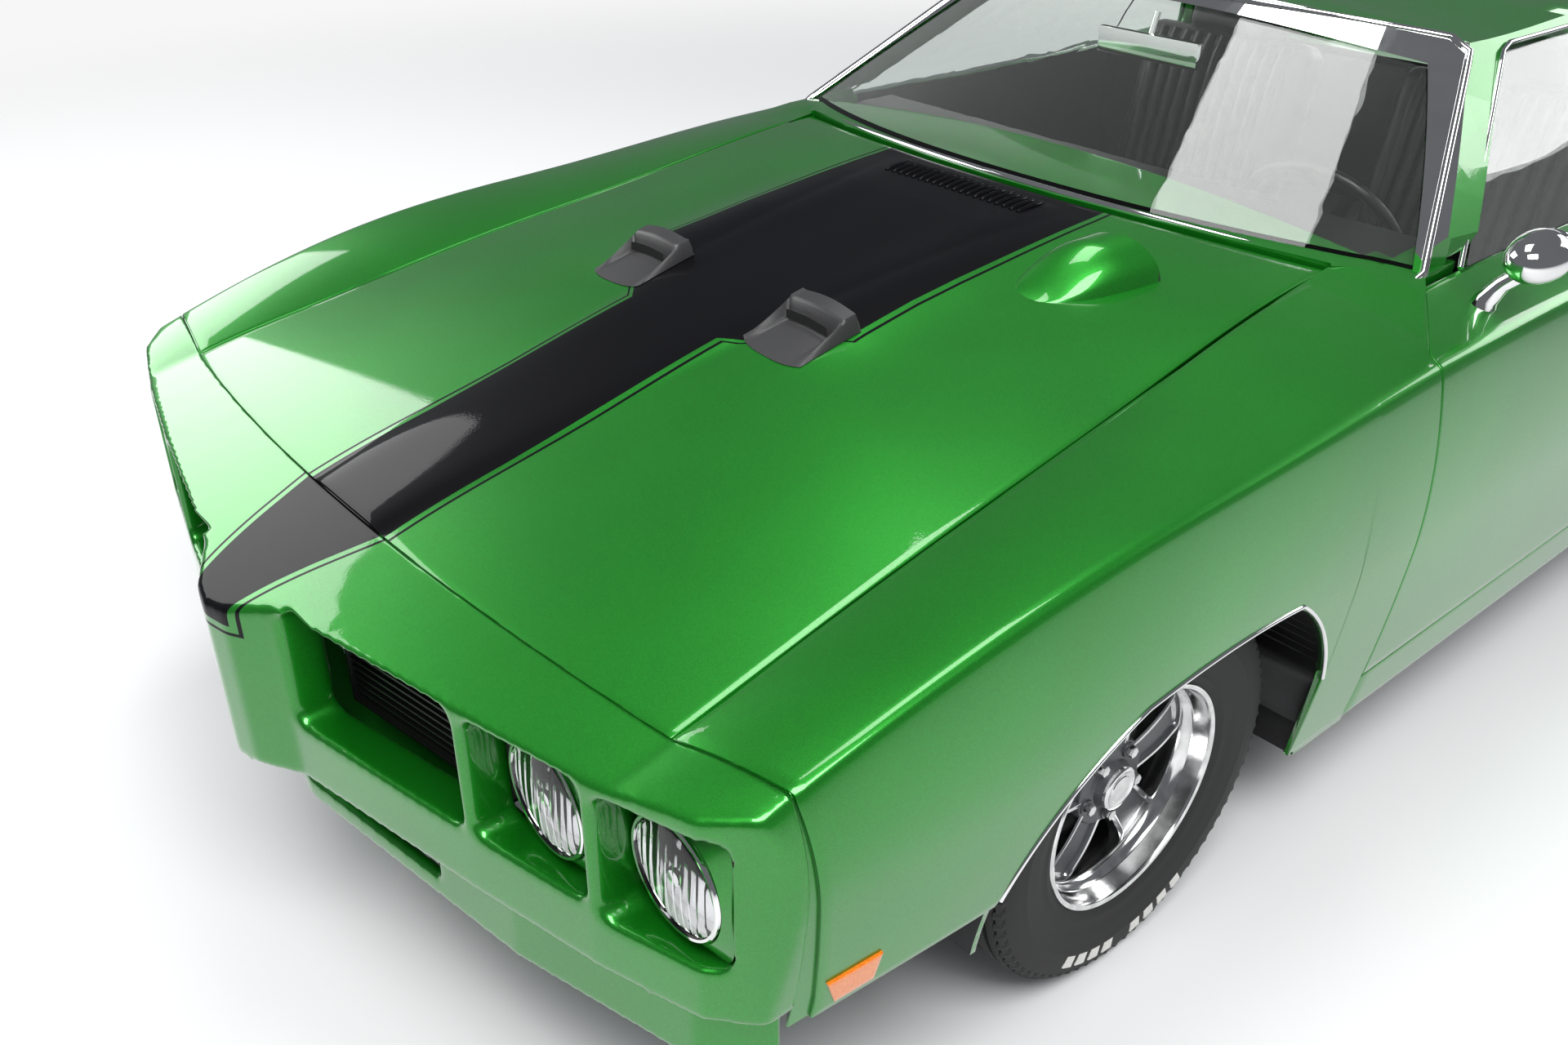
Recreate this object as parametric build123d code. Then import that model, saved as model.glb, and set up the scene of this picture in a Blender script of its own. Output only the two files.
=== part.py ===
# A two-door hardtop muscle car of about 1970 with a moulded body-colour nose, four round
# headlamps, a scooped hood, frameless door glass and five-spoke wheels.
# Frame: +Z up, the nose of the car towards -Y, its left side at +X. The origin lies on the
# ground, in the middle of the car's length and width. All sizes are millimetres.
import os
from math import asin, atan2, cos, radians, sin, sqrt

from build123d import *

# overall sizes
body_length = 5144.0
body_width = 1948.0
wheelbase = 2845.0
front_overhang = 1060.0
front_track = 1550.0
rear_track = 1528.0

half_width = body_width / 2
nose_y = -body_length / 2
tail_y = body_length / 2
front_axle_y = nose_y + front_overhang
rear_axle_y = front_axle_y + wheelbase

# heights of the main body lines
shoulder_z = 925.0
bulge_z = 612.0
sill_z = 228.0

# walls and gaps
skin = 14.0
lid_wall = 24.0
pillar_wall = 34.0
glass_wall = 6.0
panel_gap = 5.5
seat_gap = 0.3
trim_x = 790.0

# wheels
tyre_radius = 334.0
tyre_width = 232.0
bead_radius = 190.5
flange_radius = 203.0
rim_width = 206.0
rim_wall = 9.0
spoke_count = 5
lug_count = 5
lug_circle = 120.65
hub_back = 22.0
kingpin_x = 715.0

# holes for the rear plate
plate_spacing = 178.0
plate_hole = 3.2
plate_z = 512.0
pipe_radius = 28.0

# Sections of the lower body. Columns: y, height of the crown, half width and height of the
# lid's edge, inset of the shoulder from the half width and its rise over shoulder_z, the same
# for the bulge over bulge_z, the same for the sill over sill_z.
BODY = (
    (nose_y - 40, 690, 700, 662, 92, -262, 66, -52, 110, 30),
    (front_axle_y - 778, 801, 731, 768, 70, -152, 46, -14, 98, 26),
    (front_axle_y - 543, 852, 720, 812, 56, -88, 29, -4, 82, 14),
    (front_axle_y - 228, 921, 707, 866, 44, -38, 12, 8, 66, 4),
    (front_axle_y + 152, 974, 684, 919, 42, -21, 10, 6, 60, 0),
    (front_axle_y + 536, 1018, 665, 973, 41, -1, 9, 6, 58, 0),
    (front_axle_y + 1312, 1012, 680, 972, 36, 0, 3, 2, 56, -2),
    (rear_axle_y - 833, 1002, 690, 968, 35, 2, 0, 8, 56, -2),
    (rear_axle_y - 333, 985, 690, 968, 38, 16, 0, 20, 58, 0),
    (rear_axle_y + 67, 962, 668, 954, 46, 18, 0, 26, 62, 4),
    (rear_axle_y + 517, 922, 648, 916, 62, -8, 10, 18, 74, 20),
    (rear_axle_y + 917, 880, 634, 874, 80, -46, 30, 8, 90, 30),
    (tail_y + 40, 846, 620, 838, 98, -84, 52, 0, 106, 40),
)

# Sections of the greenhouse. Columns: y, crown height, half width and height of the roof
# rail, half width and height of the belt.
ROOF = (
    (front_axle_y + 400, 1290, 530, 1256, 800, 952),
    (front_axle_y + 1140, 1314, 575, 1276, 808, 946),
    (front_axle_y + 1640, 1325, 588, 1284, 812, 944),
    (rear_axle_y - 733, 1300, 592, 1254, 814, 944),
    (rear_axle_y - 383, 1205, 596, 1164, 808, 944),
    (rear_axle_y - 33, 1080, 600, 1046, 800, 942),
    (rear_axle_y + 247, 968, 590, 940, 780, 900),
)

# Windscreen and rear window as surfaces ruled between two levels. Columns: z, y of the middle,
# half width and y of the corner.
SCREEN = (
    (880.0, front_axle_y + 327, 853, front_axle_y + 621),
    (1400.0, front_axle_y + 1180, 490, front_axle_y + 1364),
)
REAR_WINDOW = (
    (860.0, rear_axle_y + 250, 634, rear_axle_y + 190),
    (1400.0, rear_axle_y - 978, 500, rear_axle_y - 1028),
)
screen_shift = 11.5
glass_foot_z = 940.0
window_shift = 13.5

# seams between the panels
seam_y = front_axle_y - 836
seam_radius = 4368.0
hood_rear_y = front_axle_y + 527
hood_corner_y = front_axle_y + 664
hood_corner_x = 660.0
door_front_y = front_axle_y + 565
door_rear_y = front_axle_y + 1922
door_bottom_z = 335.0
door_diag_z = 872.0
pillar_foot = (785.0, front_axle_y + 797)
lid_front_y = rear_axle_y + 180
lid_rear_y = tail_y - 130
tail_wall_y = tail_y - 76

# hinges
hood_axis = (hood_corner_y + 12, 1004.0)
trunk_axis = (lid_front_y - 8, 950.0)
door_axis = (935.0, door_front_y + 43)
door_edge = 38.0

# rooms
floor_z = 285.0
floor_wall = 12.0
firewall_y = front_axle_y + 690
trunk_floor_z = 470.0
shelf_z = 928.0

# nose openings. Columns: x from, x to, z from, z to.
LAMP_OPENINGS = ((492, 688, 545, 738), (704, 880, 530, 730))
GRILLE_OPENING = (126, 476, 545, 742)
lamp_radius = 86.0


def box(x0, x1, y0, y1, z0, z1):
    return Pos((x0 + x1) / 2, (y0 + y1) / 2, (z0 + z1) / 2) * Box(x1 - x0, y1 - y0, z1 - z0)


def rod(axis, centre, radius, start, end):
    """A cylinder along one axis; centre holds the two other coordinates in x, y, z order."""
    middle, length = (start + end) / 2, abs(end - start)
    if axis == "x":
        return Pos(middle, *centre) * Rot(0, 90, 0) * Cylinder(radius, length)
    if axis == "y":
        return Pos(centre[0], middle, centre[1]) * Rot(90, 0, 0) * Cylinder(radius, length)
    return Pos(*centre, middle) * Cylinder(radius, length)


def tube(points, radius):
    """A bent bar: straight round lengths joined by balls at the corners."""
    body = None
    for a, b in zip(points, points[1:]):
        way = Vector(*b) - Vector(*a)
        piece = Plane(origin=a, z_dir=way) * Cylinder(
            radius, way.length, align=(Align.CENTER, Align.CENTER, Align.MIN))
        body = piece if body is None else body + piece
    for corner in points[1:-1]:
        body = body + Pos(*corner) * Sphere(radius)
    return body


def both(shape):
    return [shape, shape.mirror(Plane.YZ)]


def plan(points, z_low, z_high, lean=0.0):
    """A prism over an outline in x and y, drawn at z_high and leaning by lean mm in y per mm."""
    face = make_face(Polyline(*[(x, y, z_high) for x, y in points], close=True).edges())
    drop = z_high - z_low
    return extrude(face, amount=drop * sqrt(1 + lean * lean), dir=(0, -lean, -1))


def side(points, x_low, x_high):
    """A prism over an outline in y and z."""
    face = make_face(Polyline(*[(x_low, y, z) for y, z in points], close=True).edges())
    return extrude(face, amount=x_high - x_low, dir=(1, 0, 0))


def biggest(shape):
    solids = sorted(shape.solids(), key=lambda s: s.volume)
    return solids[-1]


def bulged(a, b, crown):
    """Arc from a to b, its middle pushed by crown to the left of the way from a to b."""
    dx, dz = b[0] - a[0], b[1] - a[1]
    run = sqrt(dx * dx + dz * dz)
    mid = ((a[0] + b[0]) / 2 - dz / run * crown, (a[1] + b[1]) / 2 + dx / run * crown)
    return ThreePointArc((*a, 0), (*mid, 0), (*b, 0))


def cross_face(y, edges):
    """A face across the car at y from edges drawn in x and z."""
    wire = Wire(edges)
    return Plane(origin=(0, y, 0), x_dir=(1, 0, 0), z_dir=(0, -1, 0)) * make_face(wire.edges())


def body_section(row, inset, drop):
    y, crown_z, lid_x, lid_z, sh_in, sh_up, bu_in, bu_up, si_in, si_up = row
    right = [
        (lid_x, lid_z - inset),
        (half_width - sh_in - inset, shoulder_z + sh_up - inset),
        (half_width - bu_in - inset, bulge_z + bu_up),
        (half_width - si_in - inset, sill_z + si_up - drop),
    ]
    left = [(-x, z) for x, z in right]
    crowns = (7.0, 11.0, 5.0)
    edges = [ThreePointArc((*left[0], 0), (0, crown_z - inset, 0), (*right[0], 0))]
    edges += [bulged(right[i], right[i + 1], crowns[i]) for i in range(3)]
    edges += [Line((*right[3], 0), (*left[3], 0))]
    edges += [bulged(left[i + 1], left[i], crowns[i]) for i in (2, 1, 0)]
    return cross_face(y, edges)


def body_volume(inset=0.0, drop=0.0):
    return loft([body_section(row, inset, drop) for row in BODY])


def roof_section(row, inset):
    y, crown_z, rail_x, rail_z, belt_x, belt_z = row
    lean = (belt_x - rail_x) / (rail_z - belt_z)
    foot_z = 800.0
    foot_x = belt_x + lean * (belt_z - foot_z) * 0.25
    rail = (rail_x - inset * 0.8, rail_z - inset)
    belt = (belt_x - inset * 1.18, belt_z)
    foot = (foot_x - inset * 1.18, foot_z)
    left = [(-x, z) for x, z in (rail, belt, foot)]
    edges = [ThreePointArc((*left[0], 0), (0, crown_z - inset, 0), (*rail, 0))]
    edges += [bulged(rail, belt, 9.0), Line((*belt, 0), (*foot, 0))]
    edges += [Line((*foot, 0), (*left[2], 0)), Line((*left[2], 0), (*left[1], 0))]
    edges += [bulged(left[1], left[0], 9.0)]
    return cross_face(y, edges)


def roof_volume(inset=0.0):
    return loft([roof_section(row, inset) for row in ROOF])


def screen_front():
    """All the space ahead of the windscreen's outer face."""
    faces = []
    for z, mid_y, corner_x, corner_y in SCREEN:
        slope = 2 * (corner_y - mid_y) / corner_x
        out_x = corner_x + 450
        out_y = corner_y + slope * 0.82 * 450
        far = front_axle_y - 500
        edges = [
            ThreePointArc((-corner_x, corner_y, z), (0, mid_y, z), (corner_x, corner_y, z)),
            Line((corner_x, corner_y, z), (out_x, out_y, z)),
            Line((out_x, out_y, z), (out_x, far, z)),
            Line((out_x, far, z), (-out_x, far, z)),
            Line((-out_x, far, z), (-out_x, out_y, z)),
            Line((-out_x, out_y, z), (-corner_x, corner_y, z)),
        ]
        faces.append(make_face(edges))
    return loft(faces, ruled=True)


def window_rear():
    """All the space behind the rear window's outer face, between the roof's side panels."""
    faces = []
    for z, mid_y, corner_x, corner_y in REAR_WINDOW:
        far = tail_y
        edges = [
            ThreePointArc((-corner_x, corner_y, z), (0, mid_y, z), (corner_x, corner_y, z)),
            Line((corner_x, corner_y, z), (corner_x, far, z)),
            Line((corner_x, far, z), (-corner_x, far, z)),
            Line((-corner_x, far, z), (-corner_x, corner_y, z)),
        ]
        faces.append(make_face(edges))
    return loft(faces, ruled=True)


def lid_edge(y):
    """Half width of the lid's edge at y, from the table."""
    for a, b in zip(BODY, BODY[1:]):
        if a[0] <= y <= b[0]:
            return a[2] + (b[2] - a[2]) * (y - a[0]) / (b[0] - a[0])
    return BODY[-1][2]


def nose_seam(x):
    return seam_y + x * x / (2 * seam_radius)


def seam_line(shift, steps=8, reach=1000):
    """Points of the seam behind the nose, from right to left."""
    xs = [-reach + 2 * reach * i / steps for i in range(steps + 1)]
    return [(x, nose_seam(x) + shift) for x in xs]


def hood_rear(x):
    return hood_rear_y + (hood_corner_y - hood_rear_y) * (x / hood_corner_x) ** 2


OUTER = body_volume()
INNER = body_volume(skin, 200)
GROWN = body_volume(-seat_gap, -seat_gap)
ROOM = body_volume(skin + seat_gap, 200)
LID_ROOM = body_volume(lid_wall + seat_gap, 200)
BAY_ROOM = body_volume(lid_wall + 7, 200)
SHELL = OUTER - INNER
LIDS = OUTER - body_volume(lid_wall, 200)


def arch_space(axle_y, top, x_low, x_high, forward, back):
    """The opening over a wheel: a flat-topped arch, its outline in y and z."""
    def at(dy, z):
        return (x_low, axle_y + dy, z)
    edges = [
        ThreePointArc(at(-forward, 150), at(-forward * 0.84, top - 150), at(-150, top - 14)),
        ThreePointArc(at(-150, top - 14), at(40, top), at(225, top - 10)),
        ThreePointArc(at(225, top - 10), at(back * 0.87, top - 130), at(back, 150)),
        Line(at(back, 150), at(-forward, 150)),
    ]
    return extrude(make_face(edges), amount=x_high - x_low, dir=(1, 0, 0))


def tangent_point(start, centre, radius):
    """Where the line from start touches a circle on its forward side."""
    dx, dy = centre[0] - start[0], centre[1] - start[1]
    away = sqrt(dx * dx + dy * dy)
    reach = sqrt(away * away - radius * radius)
    turn = atan2(dy, dx) - asin(radius / away)
    return (start[0] + reach * cos(turn), start[1] + reach * sin(turn))


def door_space(grow):
    """The space of the left door, grown by a gap all round, for the door and its neighbours."""
    ax, ay = door_axis
    front = door_front_y + panel_gap - grow
    diag = grow * 1.2
    low = box(trim_x - grow, 1100, front, door_rear_y + 60, door_bottom_z - grow, door_diag_z)
    # above the shoulder the seam runs from the pillar's foot to the circle of the front edge
    foot = (pillar_foot[0] - 20 - grow, pillar_foot[1] + 16 - diag)
    top = plan([(1100, front), (ax, front), tangent_point(foot, door_axis, door_edge + grow), foot,
                (trim_x - 12 - grow, pillar_foot[1] + 60), (trim_x - 12 - grow, door_rear_y + 60),
                (1100, door_rear_y + 60)], door_diag_z, 1100)
    space = low + top + rod("z", door_axis, door_edge + grow, door_diag_z, 1100)
    space = space & rod("z", door_axis, door_rear_y - ay + grow, 0, 1200)
    corner = box(ax, 1100, front - 50, ay, 0, 1200)
    return space - (corner - rod("z", door_axis, door_edge + grow, 0, 1200))


DOOR_SPACE = door_space(panel_gap)


def fender():
    outline = [(lid_edge(y) + panel_gap / 2, y) for y in
               (seam_y + 40, front_axle_y - 543, front_axle_y - 228, front_axle_y + 152,
                front_axle_y + 536)]
    outline += [(hood_corner_x + 6, hood_corner_y + 6), (pillar_foot[0], pillar_foot[1]),
                (1000, pillar_foot[1]), (1000, seam_y)]
    wall = SHELL & plan(outline, 150, 1100)
    ahead = plan(seam_line(seat_gap) + [(1000, seam_y - 300), (-1000, seam_y - 300)], 100, 1100)
    wall = wall - ahead - DOOR_SPACE
    wall = wall - box(500, 1100, door_front_y, 0, 100, door_bottom_z)
    wall = wall - arch_space(front_axle_y, 650, 500, 1100, 398, 392)
    wall = wall - box(500, 1100, seam_y - 100, front_axle_y, 100, 405)
    wall = wall + (wheel_house(front_axle_y, 400, 460, 130) & OUTER)
    return biggest(wall)


def sill():
    top = door_bottom_z - panel_gap
    front = front_axle_y + 411
    middle = OUTER & box(trim_x - 60, 1000, door_front_y + seat_gap, rear_axle_y - 395, 100, top)
    hidden = ROOM & box(trim_x - 60, 1000, front, door_front_y + 1, 223, top)
    return middle + hidden


def cowl():
    rear = [(-pillar_foot[0], pillar_foot[1] + 60), (pillar_foot[0], pillar_foot[1] + 60),
            (pillar_foot[0], pillar_foot[1]), (hood_corner_x + 6, hood_corner_y + 6)]
    xs = [hood_corner_x * (4 - i) / 4 for i in range(9)]
    front = [(x, hood_rear(x) + 14) for x in xs]
    outline = rear + front + [(-hood_corner_x - 6, hood_corner_y + 6),
                              (-pillar_foot[0], pillar_foot[1])]
    top = LIDS & plan(outline, 700, 1100)
    for cut in both(DOOR_SPACE):
        top = top - cut
    opening = plan([(-720, front_axle_y + 740), (720, front_axle_y + 740),
                    (720, front_axle_y + 900), (-720, front_axle_y + 900)], 600, 1100)
    return biggest(top - opening)


def hood():
    ys = (seam_y - 100, front_axle_y - 778, front_axle_y - 543, front_axle_y - 228,
          front_axle_y + 152, front_axle_y + 536)
    edge = [(lid_edge(y) - panel_gap / 2, y) for y in ys]
    rear = [(hood_corner_x * (4 - i) / 4, hood_rear(hood_corner_x * (4 - i) / 4)) for i in range(9)]
    outline = edge + rear + [(-x, y) for x, y in reversed(edge)]
    leaf = LIDS & plan(outline, 600, 1100)
    lean = -0.163
    front = seam_line(panel_gap + lean * 300) + [(1000, 0), (-1000, 0)]
    leaf = biggest(leaf & plan(front, 600, 1100, lean))
    y = front_axle_y + 300
    pod = Pos(408, y, 945) * Sphere(95)
    pod = pod & box(330, 486, y - 60, y + 75, 900, 1012)
    return biggest(leaf + (pod - body_volume(12, 200)))


def scoop(mid_x):
    """A hood scoop: two rising walls and a lip at the back over a mouth that faces forward."""
    front, back = front_axle_y - 205, front_axle_y - 62
    wedge = side([(front, 880), (front, 924), (back - 60, 979), (back - 8, 975), (back, 962),
                  (back, 880)], mid_x - 72, mid_x + 72)
    mouth = side([(front - 1, 880), (back - 18, 880), (back - 18, 958), (back - 50, 966),
                  (back - 56, 1010), (front - 1, 1010)], mid_x - 60, mid_x + 60)
    return biggest(wedge - mouth - body_volume(-seat_gap, 0))


def nose():
    outline = [(0, nose_y), (46, nose_y + 10), (118, nose_y + 52), (485, nose_y + 128),
               (700, nose_y + 178), (850, nose_y + 226), (908, nose_y + 276), (960, nose_y + 360),
               (1000, nose_y + 460)]
    outline = [(-x, y) for x, y in reversed(outline[1:])] + outline
    bulk = OUTER & plan(outline, 440, 900)
    bulk = bulk - plan(seam_line(0) + [(1000, seam_y + 900), (-1000, seam_y + 900)], 100, 1100)
    back = [(x * 0.96, y + 66) for x, y in outline[1:-1]]
    back = [(900, seam_y + 300)] + [(-900, seam_y + 300)] + back
    room = body_volume(20, 200) & plan(back, 462, 900)
    bulk = bulk - room
    x0, x1, z0, z1 = GRILLE_OPENING
    for opening in (*LAMP_OPENINGS, GRILLE_OPENING):
        x0, x1, z0, z1 = opening
        cut = box(x0, x1, nose_y - 20, nose_y + 320, z0, z1)
        cut = fillet(cut.edges().filter_by(Axis.Y), 26)
        for piece in both(cut):
            bulk = bulk - piece
    return biggest(bulk)


def grille():
    x0, x1, z0, z1 = GRILLE_OPENING
    inset = seat_gap
    frame = box(x0 + inset, x1 - inset, nose_y + 112, nose_y + 148, z0 + inset, z1 - inset)
    frame = fillet(frame.edges().filter_by(Axis.Y), 25)
    for i in range(7):
        z = z0 + 24 + i * 24
        frame = frame - box(x0 + 18, x1 - 18, nose_y + 100, nose_y + 136, z, z + 14)
    bridge = box(-x0 - 20, x0 + 20, nose_y + 129, nose_y + 147, z0 + 70, z0 + 130)
    return biggest(frame + frame.mirror(Plane.YZ) + bridge)


def headlamps():
    """The two lamps of the left side with their shared mounting plate."""
    unit = None
    for x0, x1, z0, z1 in LAMP_OPENINGS:
        depth = nose_y + 205 + (x0 - 492) * 0.22
        back = nose_y + 276
        plate = box(x0 + seat_gap, x1 - seat_gap, depth, back, z0 + seat_gap, z1 - seat_gap)
        plate = fillet(plate.edges().filter_by(Axis.Y), 25)
        lens = rod("y", ((x0 + x1) / 2, (z0 + z1) / 2), lamp_radius - 4, depth - 16, depth + 5)
        piece = plate + lens
        unit = piece if unit is None else unit + piece
    return unit + box(640, 760, nose_y + 258, nose_y + 275, 600, 680)


def valance():
    outline = [(0, nose_y + 92), (500, nose_y + 168), (800, nose_y + 250), (880, nose_y + 330),
               (880, seam_y + 108)]
    inner = [(850, seam_y + 108), (850, nose_y + 340), (780, nose_y + 272), (490, nose_y + 190),
             (0, nose_y + 114)]
    wall = plan(outline + inner, 300, 440 - seat_gap)
    wall = wall + wall.mirror(Plane.YZ)
    slot = box(-330, 330, nose_y, nose_y + 300, 340, 400)
    return biggest(wall - slot)


ROOF_OUT = roof_volume()
ROOF_IN = roof_volume(pillar_wall)
FRONT_SPACE = screen_front()
REAR_SPACE = window_rear()


def window_outline(grow):
    """The side window's opening in y and z, grown inwards by grow."""
    return [(front_axle_y + 850 + grow * 1.9, glass_foot_z),
            (front_axle_y + 1290 + grow * 1.2, 1258 - grow),
            (rear_axle_y - 850 - grow, 1258 - grow),
            (rear_axle_y - 560 - grow * 1.4, glass_foot_z)]


def roof():
    wall = ROOF_OUT - ROOF_IN - FRONT_SPACE - REAR_SPACE
    wall = wall - GROWN
    hole = side(window_outline(0), 500, 1100)
    for cut in both(hole):
        wall = wall - cut
    for cut in both(DOOR_SPACE):
        wall = wall - cut
    # the side panels narrow towards their tails, so that the lid behind can swing up
    tail_x = lid_edge(lid_front_y) + 6
    narrowing = [(590, rear_axle_y - 60), (tail_x, lid_front_y - 14), (tail_x, tail_y)]
    narrowing += [(-x, y) for x, y in reversed(narrowing)]
    return biggest(wall - plan(narrowing, 880, 1100))


def windscreen():
    band = Pos(0, screen_shift + 6, 0) * FRONT_SPACE - Pos(0, 6, 0) * FRONT_SPACE
    pane = band & roof_volume(pillar_wall + seat_gap)
    return biggest(pane - GROWN)


def rear_window():
    band = Pos(0, -window_shift - 6, 0) * REAR_SPACE - Pos(0, -6, 0) * REAR_SPACE
    pane = band & roof_volume(pillar_wall + seat_gap)
    return biggest(pane - GROWN)


def side_glass():
    band = roof_volume(12) - roof_volume(12 + glass_wall)
    pane = band & side(window_outline(panel_gap), 500, 1100)
    seam = door_rear_y - 3 - door_axis[1]
    front = pane & rod("z", door_axis, seam, 800, 1400)
    rear = pane - rod("z", door_axis, seam + 3 + panel_gap, 800, 1400)
    return front, rear


GLASS_SLOT = roof_volume(12 - seat_gap) - roof_volume(12 + glass_wall + seat_gap)
GLASS_SLOT = GLASS_SLOT & box(0, 1100, front_axle_y, rear_axle_y, glass_foot_z - seat_gap, 1100)


def door():
    leaf = OUTER & door_space(0)
    return biggest(leaf - GLASS_SLOT)


def quarter():
    outline = [(trim_x, door_rear_y - 100), (1100, door_rear_y - 100), (1100, tail_y),
               (0, tail_y), (lid_edge(lid_rear_y) + panel_gap / 2, lid_rear_y),
               (lid_edge(lid_front_y) + panel_gap / 2, lid_front_y),
               (lid_edge(lid_front_y) + panel_gap / 2, rear_axle_y - 60), (740, rear_axle_y - 60),
               (740, door_rear_y + 60), (trim_x, door_rear_y + 60)]
    wall = SHELL & plan(outline, 150, 1100)
    thick = OUTER & box(trim_x, 1100, door_rear_y - 100, rear_axle_y - 300, 150, 1100)
    wall = wall + thick
    wall = wall & box(0, 1100, -3000, tail_wall_y, 0, 1200)
    wall = wall - DOOR_SPACE
    wall = wall - box(500, 1100, rear_axle_y, tail_y, 100, 375)
    wall = wall - box(0, lid_edge(lid_rear_y) + 2, lid_rear_y - 6, tail_y, 0, 1100)
    wall = wall + sill()
    wall = wall - arch_space(rear_axle_y, 630, 500, 1100, 392, 398)
    wall = wall + (wheel_house(rear_axle_y, 390, 590.5, 60) & OUTER)
    return biggest(wall - GLASS_SLOT)


def trunk_lid():
    lean = 0.052
    edge = [(lid_edge(lid_front_y) - panel_gap / 2, lid_front_y + panel_gap + lean * 155),
            (lid_edge(lid_rear_y) - panel_gap / 2, lid_rear_y + lean * 250)]
    outline = edge + [(-x, y) for x, y in reversed(edge)]
    return biggest(LIDS & plan(outline, 600, 1100, lean))


def deck_panel():
    """The panel below the rear window, in one with the shelf behind the seat."""
    x = lid_edge(lid_front_y) + panel_gap / 2 - seat_gap
    panel = LIDS & box(-x, x, rear_axle_y - 60, lid_front_y, 800, 1100)
    y = rear_axle_y - 64
    shelf = box(-735, 735, y - 276, y, shelf_z - 16, shelf_z)
    riser = body_volume(lid_wall - 2, 200) & box(-600, 600, y - 16, y + 8, shelf_z - 16, 1100)
    return biggest(panel + (shelf & ROOM) + riser)


def tail_panel():
    x = lid_edge(lid_rear_y) + 2 - seat_gap
    strip = LIDS & box(-x, x, lid_rear_y + panel_gap, tail_wall_y, 600, 1100)
    wall = ROOM & box(-1000, 1000, tail_wall_y - 16, tail_wall_y, 375, 1100)
    return biggest(strip + wall)


def rear_bumper():
    outline = [(958, tail_y - 190), (958, tail_y - 90), (925, tail_y - 46), (800, tail_y - 22),
               (400, tail_y - 6), (0, tail_y)]
    outline = outline + [(-x, y) for x, y in reversed(outline[:-1])]
    bar = plan(outline, 400, 610)
    bar = bar - (GROWN & box(-1100, 1100, 0, tail_wall_y + seat_gap, 0, 1200))
    for cut in both(box(360, 800, tail_y - 40, tail_y + 10, 470, 560)):
        bar = bar - cut
    for cut in both(rod("y", (plate_spacing / 2, plate_z), plate_hole, tail_y - 24, tail_y + 10)):
        bar = bar - cut
    return biggest(bar)


def tail_lamp():
    lamp = plan([(360.3, tail_y - 40 + seat_gap), (799.7, tail_y - 40 + seat_gap),
                 (799.7, tail_y - 28), (360.3, tail_y - 12)], 470.3, 559.7)
    return lamp


def floor_pan():
    wide = trim_x - 60 - seat_gap
    back = rear_axle_y - 480
    pan = box(-wide, wide, firewall_y, back, floor_z, floor_z + floor_wall)
    roof_line = [(firewall_y, 490), (firewall_y + 600, 430), (back, 405)]
    hollow = [(y, z - floor_wall) for y, z in roof_line]
    pan = pan + side([(firewall_y, 290)] + roof_line + [(back, 290)], -150, 150)
    hump = side([(back, floor_z), (back, 520), (rear_axle_y + 290, 520),
                 (rear_axle_y + 290, trunk_floor_z), (rear_axle_y + 278, trunk_floor_z),
                 (rear_axle_y + 278, 508), (back + 12, 508), (back + 12, floor_z)], -590, 590)
    trunk = box(-590, 590, rear_axle_y + 278, tail_wall_y - 16 - seat_gap, trunk_floor_z,
                trunk_floor_z + floor_wall)
    pan = pan + hump + trunk
    pan = pan - side([(firewall_y - 1, 280)] + hollow + [(back, 280)], -138, 138)
    return biggest(pan - box(-70, 70, back - 1, back + 13, 280, 400))


def firewall():
    top = door_bottom_z - panel_gap
    wall = LID_ROOM & box(-785, 785, firewall_y - 14, firewall_y - seat_gap, floor_z, 1100)
    wall = wall - box(-160, 160, firewall_y - 20, firewall_y + 5, floor_z - 5, 470)
    for post in both(box(735, 785, firewall_y - 14, front_axle_y + 780, floor_z, 900)):
        wall = wall + post
    for foot in both(box(trim_x - 60 - 0.3, 1000, firewall_y - 20, front_axle_y + 800, 200,
                         top + seat_gap)):
        wall = wall - foot
    return biggest(wall)


def wheel_house(axle_y, radius, wall_x, window):
    """An inner fender: an arched plate over the wheel, closed towards the middle of the car."""
    centre = (axle_y, tyre_radius)
    ring = rod("x", centre, radius + 10, wall_x, 1000) - rod("x", centre, radius, wall_x + 10, 1001)
    ring = ring & box(0, 1100, axle_y - 600, axle_y + 600, 300, 900)
    return ring - box(wall_x - 5, wall_x + 15, axle_y - window, axle_y + window, 290, 520)


FRAME_BARS = (
    # x from, x to, y from, y to, z from, z to
    (385, 455, front_axle_y - 690, front_axle_y + 520, 300, 400),
    (385, 690, front_axle_y + 440, front_axle_y + 540, 205, floor_z - seat_gap),
    (385, 455, front_axle_y + 440, front_axle_y + 540, 205, 345),
    (620, 690, front_axle_y + 440, rear_axle_y - 480, 205, floor_z - seat_gap),
    (480, 690, rear_axle_y - 560, rear_axle_y - 480, 205, floor_z - seat_gap),
    (0, 455, front_axle_y - 690, front_axle_y - 630, 300, 380),
    (0, 690, front_axle_y + 1090, front_axle_y + 1150, 205, 245),
    (0, 40, front_axle_y + 1100, front_axle_y + 1140, 245, 272 - seat_gap),
)


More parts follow.
